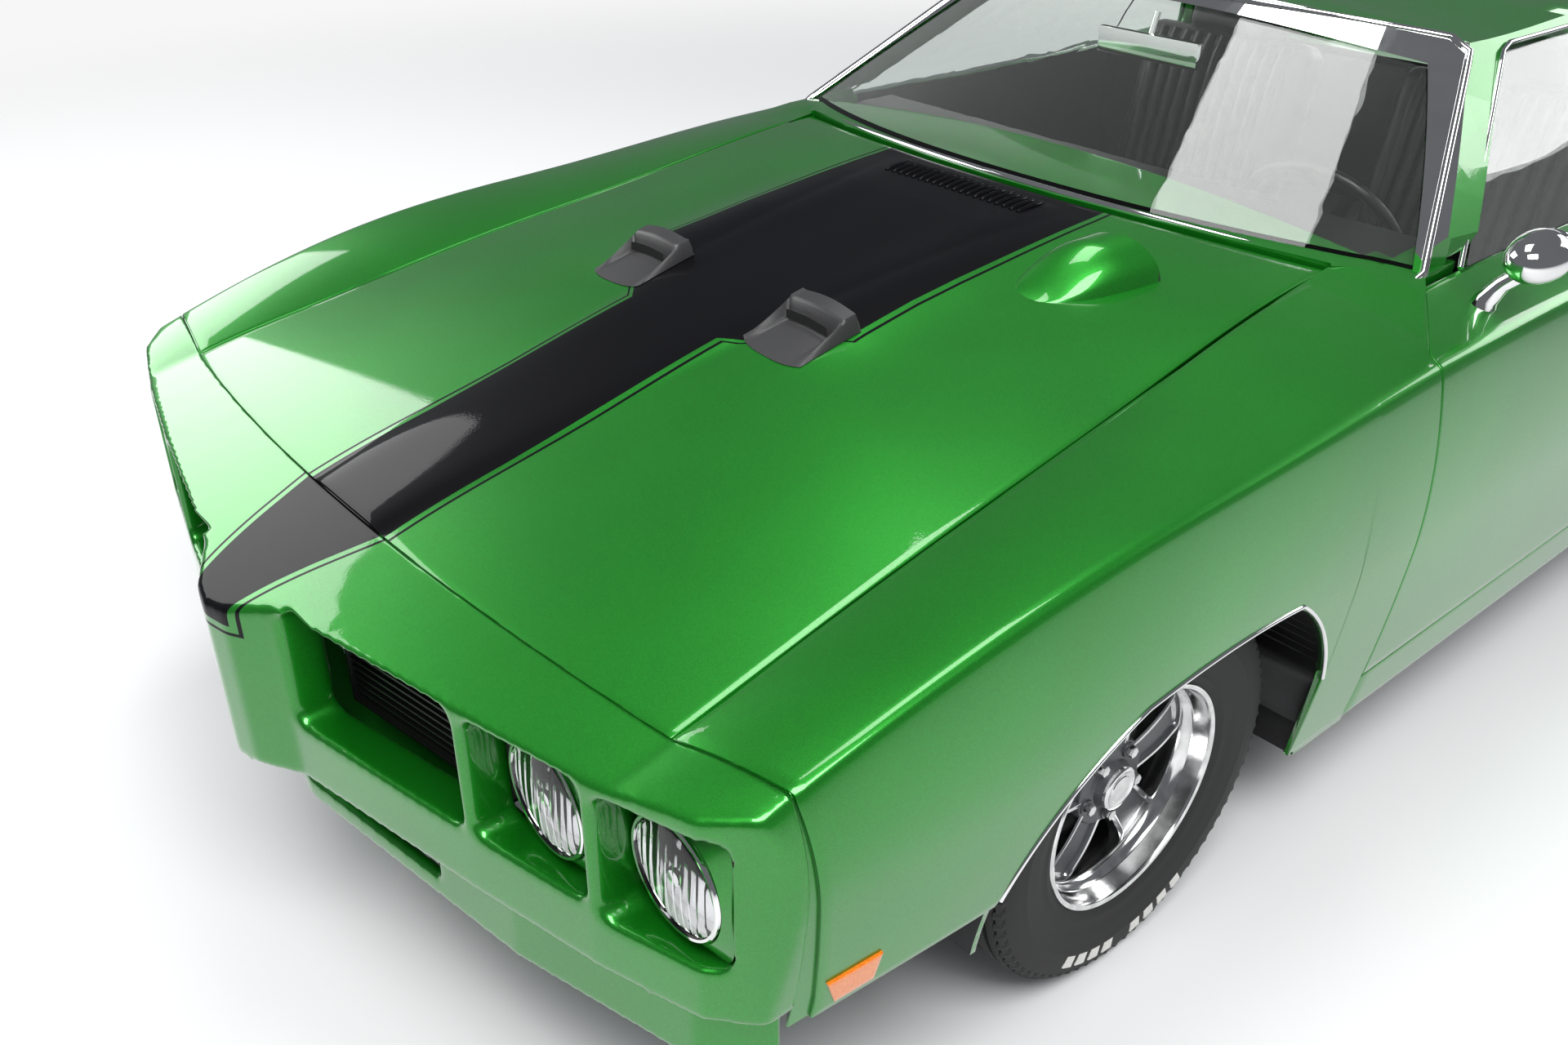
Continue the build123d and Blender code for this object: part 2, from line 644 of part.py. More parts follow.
def frame():
    bars = None
    for x0, x1, y0, y1, z0, z1 in FRAME_BARS:
        for bar in both(box(x0, x1, y0, y1, z0, z1)):
            bars = bar if bars is None else bars + bar
    y, end = rear_axle_y, tail_wall_y - 60
    top = trunk_floor_z - seat_gap
    rail = side([(y - 520, 205), (y - 420, 205), (y - 270, 420), (y + 260, 420), (y + 420, 380),
                 (end, 380), (end, top), (y + 277, top), (y + 245, 506), (y - 330, 506),
                 (y - 466, floor_z - seat_gap), (y - 520, floor_z - seat_gap)], 480, 545)
    for piece in both(rail):
        bars = bars + piece
    bars = bars + box(-480, 480, y - 260, y - 200, 450, 500)
    bars = bars + box(-480, 480, end - 60, end, 400, 460)
    return biggest(bars)


shaft_z = 332.0


def engine():
    """The engine as a plain block, in one with the gearbox and the shaft behind it."""
    block = box(-255, 255, front_axle_y - 240, firewall_y - 40, 300 + seat_gap, 800)
    gear = rod("y", (0, shaft_z), 60, firewall_y - 60, firewall_y + 560)
    shaft = rod("y", (0, shaft_z), 36, firewall_y + 540, rear_axle_y - 130)
    return block + gear + shaft


def radiator():
    """The radiator in the wall that carries it."""
    y = front_axle_y - 668
    wall = BAY_ROOM & box(-860, 860, y, y + 20, 400 + seat_gap, 900)
    wall = wall - box(-376, 376, y - 10, y + 40, 420, 730)
    return biggest(wall + box(-380, 380, y + 6, y + 60, 410, 736))


def front_suspension():
    """The front crossmember with the arms and springs of both wheels."""
    y = front_axle_y
    whole = box(-455, 455, y - 60, y + 60, 205, 300 - seat_gap)
    low = plan([(440, y - 110), (440, y + 110), (715, y + 26), (715, y - 26)], 205, 225)
    high = plan([(470, y - 80), (470, y + 80), (715, y + 24), (715, y - 24)], 448, 462)
    spring = rod("z", (560, y), 52, 220, 450)
    tower = box(390, 500, y - 60, y + 60, 400 + seat_gap, 462)
    for piece in (low, high, spring, tower):
        for copy in both(piece):
            whole = whole + copy
    return whole


def knuckle():
    y = front_axle_y
    post = rod("z", (kingpin_x, y), 23, 225 + seat_gap, 448 - seat_gap)
    spindle = rod("x", (y, tyre_radius), 24, kingpin_x, front_track / 2 + hub_back - seat_gap)
    drum = rod("x", (y, tyre_radius), 140, 745, 784)
    return post + spindle + drum


def rear_axle():
    """The rear axle with its brake drums and springs."""
    y = rear_axle_y
    whole = rod("x", (y, tyre_radius), 40, -700, 700) + Pos(0, y, tyre_radius) * Sphere(118)
    whole = whole + rod("y", (0, shaft_z), 40, y - 130 + seat_gap, y)
    for piece in both(rod("x", (y, tyre_radius), 130, 700, 783)):
        whole = whole + piece
    for piece in both(rod("x", (y, tyre_radius), 36, 700, rear_track / 2 + hub_back - seat_gap)):
        whole = whole + piece
    for piece in both(rod("z", (512, y), 32, tyre_radius + 20, 420 - seat_gap)):
        whole = whole + piece
    return whole


def exhaust():
    y = rear_axle_y
    path = [(330, front_axle_y + 300, 172), (330, y - 520, 172), (430, y - 300, 404),
            (430, y + 150, 404), (430, y + 345, 330), (700, y + 575, 320),
            (700, tail_y - 100, 320)]
    whole = rod("x", (front_axle_y + 900, 172), 24, -330, 330)
    for pipe in both(tube(path, pipe_radius)):
        whole = whole + pipe
    for hanger in both(box(430, 530, y + 60, y + 90, 404, 420 - seat_gap)):
        whole = whole + hanger
    return whole


def fuel_tank():
    tank = box(-360, 360, rear_axle_y + 330, tail_wall_y - 130, 290, trunk_floor_z - seat_gap)
    return fillet(tank.edges(), 20)


wheel_pose = (352.0, front_axle_y + 1210, 835.0)
column_tilt = 27.0


def column_point(distance):
    x, y, z = wheel_pose
    t = radians(column_tilt)
    return (x, y - distance * cos(t), z - distance * sin(t))


def dashboard():
    """The dashboard with the steering column."""
    y = firewall_y
    body = side([(y + 20, 640), (y + 20, 900), (y + 110, 960), (y + 310, 962), (y + 350, 930),
                 (y + 340, 800), (y + 300, 700), (y + 280, 640)], -735 + seat_gap, 735 - seat_gap)
    a, b = Vector(*column_point(39 + seat_gap)), Vector(*column_point(330))
    way = a - b
    column = Plane(origin=b, z_dir=way) * Cylinder(
        36, way.length, align=(Align.CENTER, Align.CENTER, Align.MIN))
    return body + column


def steering_wheel():
    axis = Vector(*wheel_pose) - Vector(*column_point(100))
    place = Plane(origin=wheel_pose, z_dir=axis, x_dir=(1, 0, 0))
    rim = place * Torus(185, 12)
    hub = place * Pos(0, 0, -18) * Cylinder(48, 42)
    body = rim + hub
    for i in range(3):
        spoke = place * Rot(0, 0, 90 + 120 * i + 90) * Pos(110, 0, -6) * Box(146, 26, 8)
        body = body + spoke
    return body


def bucket_seat():
    x, y = 372, front_axle_y + 1560
    base = box(x - 205, x + 205, y - 260, y + 240, floor_z + floor_wall + seat_gap, 470)
    base = fillet(base.edges().filter_by(Axis.Z), 50)
    pan = box(x - 255, x + 255, y - 280, y + 250, 470, 560)
    pan = fillet(pan.edges(), 30)
    back = Pos(x, y + 215, 500) * Rot(-14, 0, 0) * Pos(0, 0, 270) * Box(500, 110, 600)
    back = fillet(back.edges(), 40)
    head = Pos(x, y + 215, 500) * Rot(-14, 0, 0) * Pos(0, 0, 620) * Box(260, 90, 120)
    head = fillet(head.edges(), 30)
    return biggest(base + pan + back + head)


def rear_seat():
    y = rear_axle_y - 480
    cushion = box(-580, 580, y - 400, y - 0.3, floor_z + floor_wall + seat_gap, 520)
    cushion = cushion - box(-150.3, 150.3, y - 480, y + 10, 0, 440)
    low = box(-560, 560, y - 430, y - 80, 460, 590)
    low = fillet(low.edges(), 30)
    back = Pos(0, y - 30, 520.3) * Rot(-18, 0, 0) * Pos(0, 0, 210) * Box(1120, 140, 400)
    back = back & box(-600, 600, y - 400, rear_axle_y, 520.3, 1000)
    return biggest(cushion + low + back)


def console():
    y = front_axle_y + 1080
    body = side([(y, 451.5), (y + 30, 530), (y + 420, 510), (y + 640, 540), (y + 650, 420.3),
                 (firewall_y + 600, 430 + seat_gap)], -110, 110)
    lever = rod("z", (0, y + 150), 9, 480, 640)
    knob = Pos(0, y + 150, 645) * Sphere(20)
    return body + lever + knob


def door_mirror():
    head = Pos(930, front_axle_y + 800, 1052) * Box(110, 70, 90)
    head = fillet(head.edges(), 22)
    arm = Pos(880, front_axle_y + 810, 985) * Rot(0, 30, 0) * Box(40, 60, 90)
    foot = Pos(862, front_axle_y + 812, 952) * Box(70, 90, 40)
    return biggest((head + arm + foot) - GROWN)


def lathe(points, x, y):
    """A ring about the wheel's axle from an outline of offset along the axle and radius."""
    face = make_face(Polyline(*[(a, r, 0) for a, r in points], close=True).edges())
    ring = revolve(face, Axis.X)
    return Pos(x, y, tyre_radius) * ring


def tyre(x, y):
    w, r = tyre_width / 2, tyre_radius
    seat = bead_radius + seat_gap
    h = rim_width / 2
    edges = [
        ThreePointArc((-w + 24, r - 7, 0), (0, r, 0), (w - 24, r - 7, 0)),
        ThreePointArc((w - 24, r - 7, 0), (w - 6, r - 18, 0), (w - 2, r - 42, 0)),
        ThreePointArc((w - 2, r - 42, 0), (w, r - 80, 0), (w - 15, seat + 14, 0)),
        Line((w - 15, seat + 14, 0), (h - 8.8, seat + 13, 0)),
        Line((h - 8.8, seat + 13, 0), (h - 12.8, seat, 0)),
        Line((h - 12.8, seat, 0), (w - 46, seat, 0)),
        ThreePointArc((w - 46, seat, 0), (w - 22, r - 60, 0), (w - 50, r - 22, 0)),
        Line((w - 50, r - 22, 0), (-w + 50, r - 22, 0)),
        ThreePointArc((-w + 50, r - 22, 0), (-w + 22, r - 60, 0), (-w + 46, seat, 0)),
        Line((-w + 46, seat, 0), (-h + 12.8, seat, 0)),
        Line((-h + 12.8, seat, 0), (-h + 8.8, seat + 13, 0)),
        Line((-h + 8.8, seat + 13, 0), (-w + 15, seat + 14, 0)),
        ThreePointArc((-w + 15, seat + 14, 0), (-w, r - 80, 0), (-w + 2, r - 42, 0)),
        ThreePointArc((-w + 2, r - 42, 0), (-w + 6, r - 18, 0), (-w + 24, r - 7, 0)),
    ]
    ring = revolve(make_face(edges), Axis.X)
    return Pos(x, y, tyre_radius) * ring


def rim(x, y):
    """A five-spoke rim; its face looks towards +X from the plane of the wheel."""
    h, s = rim_width / 2, bead_radius
    barrel = lathe([(-h, s + 3), (-h, flange_radius), (-h + 8, flange_radius), (-h + 12, s),
                    (-40, s), (-30, s - 14), (h - 50, s - 14), (h - 40, s), (h - 12, s),
                    (h - 8, flange_radius), (h, flange_radius), (h, s - 2), (h - 34, s - rim_wall),
                    (h - 46, s - 14 - rim_wall), (-26, s - 14 - rim_wall), (-36, s - rim_wall),
                    (-h + 8, s - rim_wall)], x, y)
    hub = lathe([(hub_back, 0), (hub_back, 78), (50, 78), (62, 52), (66, 36), (73, 30), (73, 0)], x, y)
    wheel = barrel + hub
    reach = s - 14 - rim_wall / 2
    for i in range(spoke_count):
        arm = make_face(Polyline((0, -33, 0), (0, 33, 0), (reach, 43, 0), (reach, -43, 0),
                                 close=True).edges())
        arm = Pos(0, 0, 26) * extrude(arm, amount=24, dir=(0, 0, 1))
        arm = Rot(0, 0, 90 + 360 / spoke_count * i) * arm
        arm = Pos(x, y, tyre_radius) * Rot(0, 90, 0) * arm
        wheel = wheel + arm
    for i in range(lug_count):
        a = radians(90 + 36 + 360 / lug_count * i)
        nut = rod("x", (y + lug_circle / 2 * cos(a), tyre_radius + lug_circle / 2 * sin(a)), 10,
                  x + 40, x + 66)
        wheel = wheel + nut
    return wheel


def sided(name, left_shape):
    """A piece of the left side and its mirror image."""
    return {name + "_left": left_shape, name + "_right": left_shape.mirror(Plane.YZ)}


def pieces():
    made = {"frame": frame(), "floor_pan": floor_pan(), "firewall": firewall(), "cowl": cowl()}
    made["nose"] = nose()
    made["front_valance"] = valance()
    made["grille"] = grille()
    made.update(sided("headlamps", headlamps()))
    made.update(sided("fender", fender()))
    made.update(sided("quarter", quarter()))
    made["roof"] = roof()
    made["windscreen"] = windscreen()
    made["rear_window"] = rear_window()
    front_glass, rear_glass = side_glass()
    made.update(sided("door_glass", biggest(front_glass)))
    made.update(sided("quarter_glass", biggest(rear_glass)))
    made["deck_panel"] = deck_panel()
    made["tail_panel"] = tail_panel()
    made["rear_bumper"] = rear_bumper()
    made.update(sided("tail_lamp", tail_lamp()))
    made["radiator"] = radiator()
    made["engine"] = engine()
    made["front_suspension"] = front_suspension()
    made.update(sided("knuckle", knuckle()))
    made["rear_axle"] = rear_axle()
    made["exhaust"] = exhaust()
    made["fuel_tank"] = fuel_tank()
    made["dashboard"] = dashboard()
    made["steering_wheel"] = steering_wheel()
    made.update(sided("bucket_seat", bucket_seat()))
    made["rear_seat"] = rear_seat()
    made["console"] = console()
    made["hood"] = hood()
    made.update(sided("hood_scoop", scoop(214)))
    made["trunk_lid"] = trunk_lid()
    made.update(sided("door", door()))
    made["door_mirror"] = door_mirror()
    for name, axle_y, track in (("front", front_axle_y, front_track),
                                ("rear", rear_axle_y, rear_track)):
        made.update(sided("tyre_" + name, tyre(track / 2, axle_y)))
        made.update(sided("rim_" + name, rim(track / 2, axle_y)))
    return made


if __name__ == "__main__":
    os.makedirs("parts", exist_ok=True)
    for name, shape in pieces().items():
        solids = shape.solids()
        box_ = shape.bounding_box()
        print(f"{name:24s} solids {len(solids)} valid {all(s.is_valid for s in solids)} "
              f"x {box_.min.X:.0f} {box_.max.X:.0f} y {box_.min.Y:.0f} {box_.max.Y:.0f} "
              f"z {box_.min.Z:.0f} {box_.max.Z:.0f} vol {shape.volume / 1e6:.1f}")
        export_step(solids[0] if len(solids) == 1 else shape, f"parts/{name}.step")
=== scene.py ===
import math

import bmesh
import bpy
import numpy as np
from mathutils import Matrix, Vector
from mathutils.bvhtree import BVHTree


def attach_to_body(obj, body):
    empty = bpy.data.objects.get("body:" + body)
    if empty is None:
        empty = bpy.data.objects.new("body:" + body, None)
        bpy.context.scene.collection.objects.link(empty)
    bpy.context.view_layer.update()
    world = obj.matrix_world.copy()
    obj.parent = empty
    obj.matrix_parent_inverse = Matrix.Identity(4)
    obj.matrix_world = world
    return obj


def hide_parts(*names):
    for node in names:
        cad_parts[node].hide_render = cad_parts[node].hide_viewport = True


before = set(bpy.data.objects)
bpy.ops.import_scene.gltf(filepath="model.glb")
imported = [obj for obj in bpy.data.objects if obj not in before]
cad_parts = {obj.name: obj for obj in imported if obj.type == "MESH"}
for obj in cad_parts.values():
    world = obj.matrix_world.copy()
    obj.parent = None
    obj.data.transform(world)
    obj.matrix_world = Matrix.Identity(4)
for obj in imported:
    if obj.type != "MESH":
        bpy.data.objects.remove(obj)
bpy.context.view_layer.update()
print("stage: frame loaded")

frontAxle, rearAxle, wheelZ = -1.512, 1.333, 0.334


def link(obj):
    bpy.context.scene.collection.objects.link(obj)
    return obj


def attach(obj, body, replaces=()):
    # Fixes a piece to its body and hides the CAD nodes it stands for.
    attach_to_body(obj, body)
    if replaces:
        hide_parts(*replaces)
    return obj


def oneMaterial(mesh, mat):
    mesh.materials.clear()
    mesh.materials.append(mat)
    mesh.polygons.foreach_set("material_index", np.zeros(len(mesh.polygons), dtype=np.int32))


# materials


def newMaterial(name):
    mat = bpy.data.materials.new(name)
    mat.use_nodes = True
    return mat, mat.node_tree.nodes, mat.node_tree.links, mat.node_tree.nodes["Principled BSDF"]


def effectGroup(name, build, inputs, outputs):
    # A shader node group with named inputs and outputs, filled in by build.
    tree = bpy.data.node_groups.new(name, "ShaderNodeTree")
    for label, kind, value in inputs:
        socket = tree.interface.new_socket(label, in_out="INPUT", socket_type=kind)
        if value is not None:
            socket.default_value = value
    for label, kind in outputs:
        tree.interface.new_socket(label, in_out="OUTPUT", socket_type=kind)
    enter = tree.nodes.new("NodeGroupInput")
    leave = tree.nodes.new("NodeGroupOutput")
    build(tree, enter, leave)
    return tree


def math1(tree, operation, a, b=None, c=None, clamp=False):
    node = tree.nodes.new("ShaderNodeMath")
    node.operation = operation
    node.use_clamp = clamp
    for i, value in enumerate((a, b, c)):
        if value is None:
            continue
        if isinstance(value, (int, float)):
            node.inputs[i].default_value = value
        else:
            tree.links.new(value, node.inputs[i])
    return node.outputs[0]


def ramp1(tree, value, fromLow, fromHigh, toLow, toHigh):
    node = tree.nodes.new("ShaderNodeMapRange")
    tree.links.new(value, node.inputs["Value"])
    for label, number in (("From Min", fromLow), ("From Max", fromHigh),
                          ("To Min", toLow), ("To Max", toHigh)):
        node.inputs[label].default_value = number
    return node.outputs["Result"]


def noise1(tree, vector, scale, detail=2.0):
    node = tree.nodes.new("ShaderNodeTexNoise")
    node.inputs["Scale"].default_value = scale
    node.inputs["Detail"].default_value = detail
    tree.links.new(vector, node.inputs["Vector"])
    return node.outputs["Fac"]


# along the car from, to; half width added from, to
stripeShape = {"nose": (-2.560, -2.345, 0.052, 0.118), "widen": (-1.735, -1.600, 0.0, 0.166),
               "narrow": (-1.600, -1.450, 0.0, -0.008), "lowest": 0.694, "lineFrom": 0.010, "lineTo": 0.0155}


def buildStripes(tree, enter, leave):
    # Masks of the hood stripe and of its thin outer line, from a point of the body.
    split = tree.nodes.new("ShaderNodeSeparateXYZ")
    tree.links.new(enter.outputs["Point"], split.inputs[0])
    x, y, z = split.outputs
    side = math1(tree, "ABSOLUTE", x)
    nose, widen, narrow = [ramp1(tree, y, *stripeShape[key]) for key in ("nose", "widen", "narrow")]
    half = math1(tree, "ADD", math1(tree, "ADD", nose, widen), narrow)
    past = math1(tree, "SUBTRACT", side, half)
    low = math1(tree, "SUBTRACT", stripeShape["lowest"], z)
    past = math1(tree, "MAXIMUM", past, low)
    edge = enter.outputs["Edge"]
    stripe = math1(tree, "SUBTRACT", 1.0, math1(tree, "DIVIDE", past, edge, clamp=True))
    ends = [math1(tree, "DIVIDE", math1(tree, "SUBTRACT", past, stripeShape[key]), edge, clamp=True)
            for key in ("lineFrom", "lineTo")]
    line = math1(tree, "SUBTRACT", *ends)
    tree.links.new(math1(tree, "MAXIMUM", stripe, line), leave.inputs["Mask"])


stripeGroup = effectGroup("stripeMask", buildStripes,
                          [("Point", "NodeSocketVector", None), ("Edge", "NodeSocketFloat", 0.0006)],
                          [("Mask", "NodeSocketFloat")])


def buildFlake(tree, enter, leave):
    # Slight changes of shade and of the normal, as in metallic paint.
    point = enter.outputs["Point"]
    fine = noise1(tree, point, 2600.0, 0.0)
    broad = noise1(tree, point, 3.0, 2.0)
    fine, broad = math1(tree, "MULTIPLY", fine, 0.75), math1(tree, "MULTIPLY", broad, 0.12)
    tree.links.new(math1(tree, "ADD", fine, broad), leave.inputs["Shade"])
    tree.links.new(noise1(tree, point, 260.0, 1.0), leave.inputs["Peel"])


flakeGroup = effectGroup("paintFlake", buildFlake, [("Point", "NodeSocketVector", None)],
                         [("Shade", "NodeSocketFloat"), ("Peel", "NodeSocketFloat")])


def groupNode(nodes, group):
    node = nodes.new("ShaderNodeGroup")
    node.node_tree = group
    return node


def setInputs(node, **values):
    # Sets a node's inputs; an underscore stands for a space.
    for label, value in values.items():
        node.inputs[label.replace("_", " ")].default_value = value


def colourRamp(nodes, links, value, low, lowAt, high, highAt):
    ramp = nodes.new("ShaderNodeValToRGB")
    for stop, at, colour in zip(ramp.color_ramp.elements, (lowAt, highAt), (low, high)):
        stop.position, stop.color = at, (*colour, 1)
    links.new(value, ramp.inputs["Fac"])
    return ramp.outputs["Color"]


def addBump(nodes, links, height, strength, distance, normal):
    bump = nodes.new("ShaderNodeBump")
    setInputs(bump, Strength=strength, Distance=distance)
    links.new(height, bump.inputs["Height"])
    links.new(bump.outputs["Normal"], normal)


paintLook = {"low": (0.002, 0.105, 0.004), "high": (0.012, 0.40, 0.018), "stripe": (0.004, 0.004, 0.005),
             "metal": 0.62, "rough": 0.36, "coat": 1.0, "coatRough": 0.035, "peel": 0.04, "peelDeep": 0.0006,
             "stripeShine": 0.03, "stripeCoat": 0.3}


def makePaint(name, striped):
    mat, nodes, links, shader = newMaterial(name)
    coords = nodes.new("ShaderNodeTexCoord")
    flake = groupNode(nodes, flakeGroup)
    links.new(coords.outputs["Object"], flake.inputs["Point"])
    colour = colourRamp(nodes, links, flake.outputs["Shade"], paintLook["low"], 0.30, paintLook["high"], 0.62)
    setInputs(shader, Metallic=paintLook["metal"], Roughness=paintLook["rough"],
              Coat_Weight=paintLook["coat"], Coat_Roughness=paintLook["coatRough"])
    addBump(nodes, links, flake.outputs["Peel"], paintLook["peel"], paintLook["peelDeep"],
            shader.inputs["Coat Normal"])
    if striped:
        stripes = groupNode(nodes, stripeGroup)
        links.new(coords.outputs["Object"], stripes.inputs["Point"])
        mix = nodes.new("ShaderNodeMix")
        mix.data_type = "RGBA"
        links.new(stripes.outputs["Mask"], mix.inputs["Factor"])
        links.new(colour, mix.inputs["A"])
        mix.inputs["B"].default_value = (*paintLook["stripe"], 1)
        colour = mix.outputs["Result"]
        # the stripe is dull: it has little coat and little shine
        for label, plain, dull in (("Metallic", paintLook["metal"], 0.0),
                                   ("Specular IOR Level", 0.5, paintLook["stripeShine"]),
                                   ("Coat Weight", paintLook["coat"], paintLook["stripeCoat"])):
            links.new(ramp1(mat.node_tree, stripes.outputs["Mask"], 0, 1, plain, dull), shader.inputs[label])
    links.new(colour, shader.inputs["Base Color"])
    return mat


def makePlain(name, colour, rough, metal=0.0, coat=0.0, grain=0.0, grainScale=80.0, second=None):
    # A surface whose colour, roughness and grain vary a little.
    mat, nodes, links, shader = newMaterial(name)
    coords = nodes.new("ShaderNodeTexCoord")
    noise = noise1(mat.node_tree, coords.outputs["Object"], grainScale, 3.0)
    other = second or tuple(min(1.0, c * 1.35 + 0.002) for c in colour)
    links.new(colourRamp(nodes, links, noise, colour, 0.35, other, 0.75), shader.inputs["Base Color"])
    spread = ramp1(mat.node_tree, noise, 0, 1, max(0.0, rough - 0.04), rough + 0.05)
    links.new(spread, shader.inputs["Roughness"])
    setInputs(shader, Metallic=metal, Coat_Weight=coat)
    if grain:
        addBump(nodes, links, noise, grain, 0.0008, shader.inputs["Normal"])
    return mat


def makeGlass(name, tint):
    mat, _, _, shader = newMaterial(name)
    setInputs(shader, Base_Color=(*tint, 1), Roughness=0.0, IOR=1.45, Transmission_Weight=1.0)
    return mat


paint = makePaint("greenPaint", False)
stripedPaint = makePaint("stripedPaint", True)
chrome = makePlain("chrome", (0.80, 0.80, 0.80), 0.05, 1.0, grainScale=14, second=(0.86, 0.86, 0.86))
polished = makePlain("polishedAlloy", (0.66, 0.66, 0.66), 0.13, 1.0, grainScale=40)
spokeGrey = makePlain("spokeGrey", (0.10, 0.105, 0.11), 0.40, 0.6, grain=0.06, grainScale=700)
rubber = makePlain("tyreRubber", (0.012, 0.012, 0.012), 0.72, grain=0.15, grainScale=300)
whiteMark = makePlain("whiteRubber", (0.62, 0.61, 0.58), 0.62, grain=0.1, grainScale=400)
blackSatin = makePlain("blackSatin", (0.006, 0.006, 0.006), 0.38, grain=0.05, grainScale=500)
blackMatte = makePlain("blackMatte", (0.008, 0.008, 0.008), 0.75, grain=0.2, grainScale=240)
vinyl = makePlain("seatVinyl", (0.009, 0.009, 0.010), 0.42, grain=0.25, grainScale=900)
chassisBlack = makePlain("chassisBlack", (0.011, 0.011, 0.012), 0.6, grain=0.3, grainScale=120)
steelMat = makePlain("pipeSteel", (0.30, 0.28, 0.26), 0.35, 1.0, grain=0.1, grainScale=60)
ironMat = makePlain("engineIron", (0.02, 0.06, 0.11), 0.5, grain=0.3, grainScale=150)
glass = makeGlass("clearGlass", (0.93, 0.97, 0.95))
lampGlass = makeGlass("lampGlass", (0.97, 0.98, 1.0))
redLens = makePlain("redLens", (0.32, 0.002, 0.002), 0.12, coat=1.0, grain=0.3, grainScale=260,
                    second=(0.5, 0.01, 0.01))
amberLens = makePlain("amberLens", (0.75, 0.16, 0.004), 0.14, coat=1.0, grain=0.3, grainScale=300,
                      second=(0.95, 0.28, 0.02))
scoopGrey = makePlain("scoopGrey", (0.030, 0.030, 0.031), 0.42, grain=0.25, grainScale=600)
mirrorGlass = makePlain("mirrorGlass", (0.75, 0.77, 0.80), 0.02, 1.0, grainScale=10)
print("stage: materials")

# mesh helpers


def makeObject(name, verts, faces, mats, body, replaces=(), slot=None, smooth=True, faceMats=None,
               sharp=None):
    mesh = bpy.data.meshes.new(name)
    mesh.from_pydata([tuple(v) for v in verts], [], [tuple(f) for f in faces])
    for mat in (mats if isinstance(mats, (list, tuple)) else [mats]):
        mesh.materials.append(mat)
    mesh.validate()
    if faceMats is not None:
        mesh.polygons.foreach_set("material_index", np.array(faceMats, dtype=np.int32))
    obj = link(bpy.data.objects.new(name, mesh))
    build = bmesh.new()
    build.from_mesh(mesh)
    bmesh.ops.remove_doubles(build, verts=build.verts, dist=0.00002)
    bmesh.ops.recalc_face_normals(build, faces=build.faces)
    build.to_mesh(mesh)
    build.free()
    if smooth:
        mesh.shade_smooth()
        if sharp:
            mesh.set_sharp_from_angle(angle=math.radians(sharp))
    return attach(obj, body, replaces)


class Parts:
    # Gathers vertices and faces of several shapes with a material number each.

    def __init__(self):
        self.verts, self.faces, self.mats = [], [], []

    def add(self, verts, faces, mat=0, flip=False):
        start = len(self.verts)
        self.verts += [tuple(v) for v in verts]
        for face in faces:
            face = [i + start for i in face]
            self.faces.append(face[::-1] if flip else face)
            self.mats.append(mat)

    def grid(self, points, mat=0, closeU=False, closeV=False):
        n, m = points.shape[:2]
        faces = []
        for i in range(n if closeU else n - 1):
            for j in range(m if closeV else m - 1):
                a, b = i * m + j, ((i + 1) % n) * m + j
                c, d = ((i + 1) % n) * m + (j + 1) % m, i * m + (j + 1) % m
                faces.append((a, b, c, d))
        self.add(points.reshape(-1, 3), faces, mat)

    def box(self, lo, hi, mat=0, bevel=0.002):
        # A box with small bevels.
        lo, hi = np.array(lo, float), np.array(hi, float)
        build = bmesh.new()
        bmesh.ops.create_cube(build, size=1.0)
        for v in build.verts:
            v.co = Vector((lo + hi) / 2) + Vector([v.co[i] * (hi[i] - lo[i]) for i in range(3)])
        if bevel:
            bmesh.ops.bevel(build, geom=list(build.edges), offset=bevel, segments=2, affect="EDGES",
                            profile=0.6)
        self.fromBmesh(build, mat)

    def fromBmesh(self, build, mat=0):
        build.verts.index_update()
        self.add([v.co[:] for v in build.verts], [[v.index for v in f.verts] for f in build.faces], mat)
        build.free()

    def lathe(self, profile, centre, axis="x", steps=64, mat=0, closed=False, side=1):
        # Turns a profile of (along, radius) about an axis through centre.
        prof = np.array(profile, float)
        angles = np.linspace(0, 2 * np.pi, steps, endpoint=False)
        ring = np.zeros((steps, len(prof), 3))
        ca, sa = np.cos(angles)[:, None], np.sin(angles)[:, None]
        along, rad = prof[:, 0][None, :] * side, prof[:, 1][None, :]
        if axis == "x":
            ring[..., 0], ring[..., 1], ring[..., 2] = along, rad * ca, rad * sa
        elif axis == "y":
            ring[..., 1], ring[..., 0], ring[..., 2] = along, rad * ca, rad * sa
        else:
            ring[..., 2], ring[..., 0], ring[..., 1] = along, rad * ca, rad * sa
        self.grid(ring + np.array(centre), mat, closeU=True, closeV=closed)

    def tube(self, points, radius, mat=0, steps=10, closed=False):
        pts = [Vector(p) for p in points]
        count = len(pts)
        rings, up = [], None
        for i, p in enumerate(pts):
            before = pts[i - 1] if (closed or i > 0) else pts[i]
            after = pts[(i + 1) % count] if (closed or i < count - 1) else pts[i]
            way = (after - before).normalized()
            if up is None:
                up = Vector((0, 0, 1)) if abs(way.z) < 0.9 else Vector((1, 0, 0))
            across = way.cross(up).normalized()
            up = across.cross(way).normalized()
            r = radius[i] if isinstance(radius, (list, tuple, np.ndarray)) else radius
            rings.append([p + (across * math.cos(a) + up * math.sin(a)) * r
                          for a in np.linspace(0, 2 * math.pi, steps, endpoint=False)])
        grid = np.array([[v[:] for v in ring] for ring in rings])
        self.grid(grid, mat, closeU=closed, closeV=True)
        if not closed:
            start = len(self.verts) - len(grid) * steps
            self.faces.append([start + k for k in range(steps)])
            self.faces.append([start + (count - 1) * steps + k for k in range(steps)][::-1])
            self.mats += [mat, mat]

    def build(self, name, mats, body, **more):
        return makeObject(name, self.verts, self.faces, mats, body, faceMats=self.mats, **more)


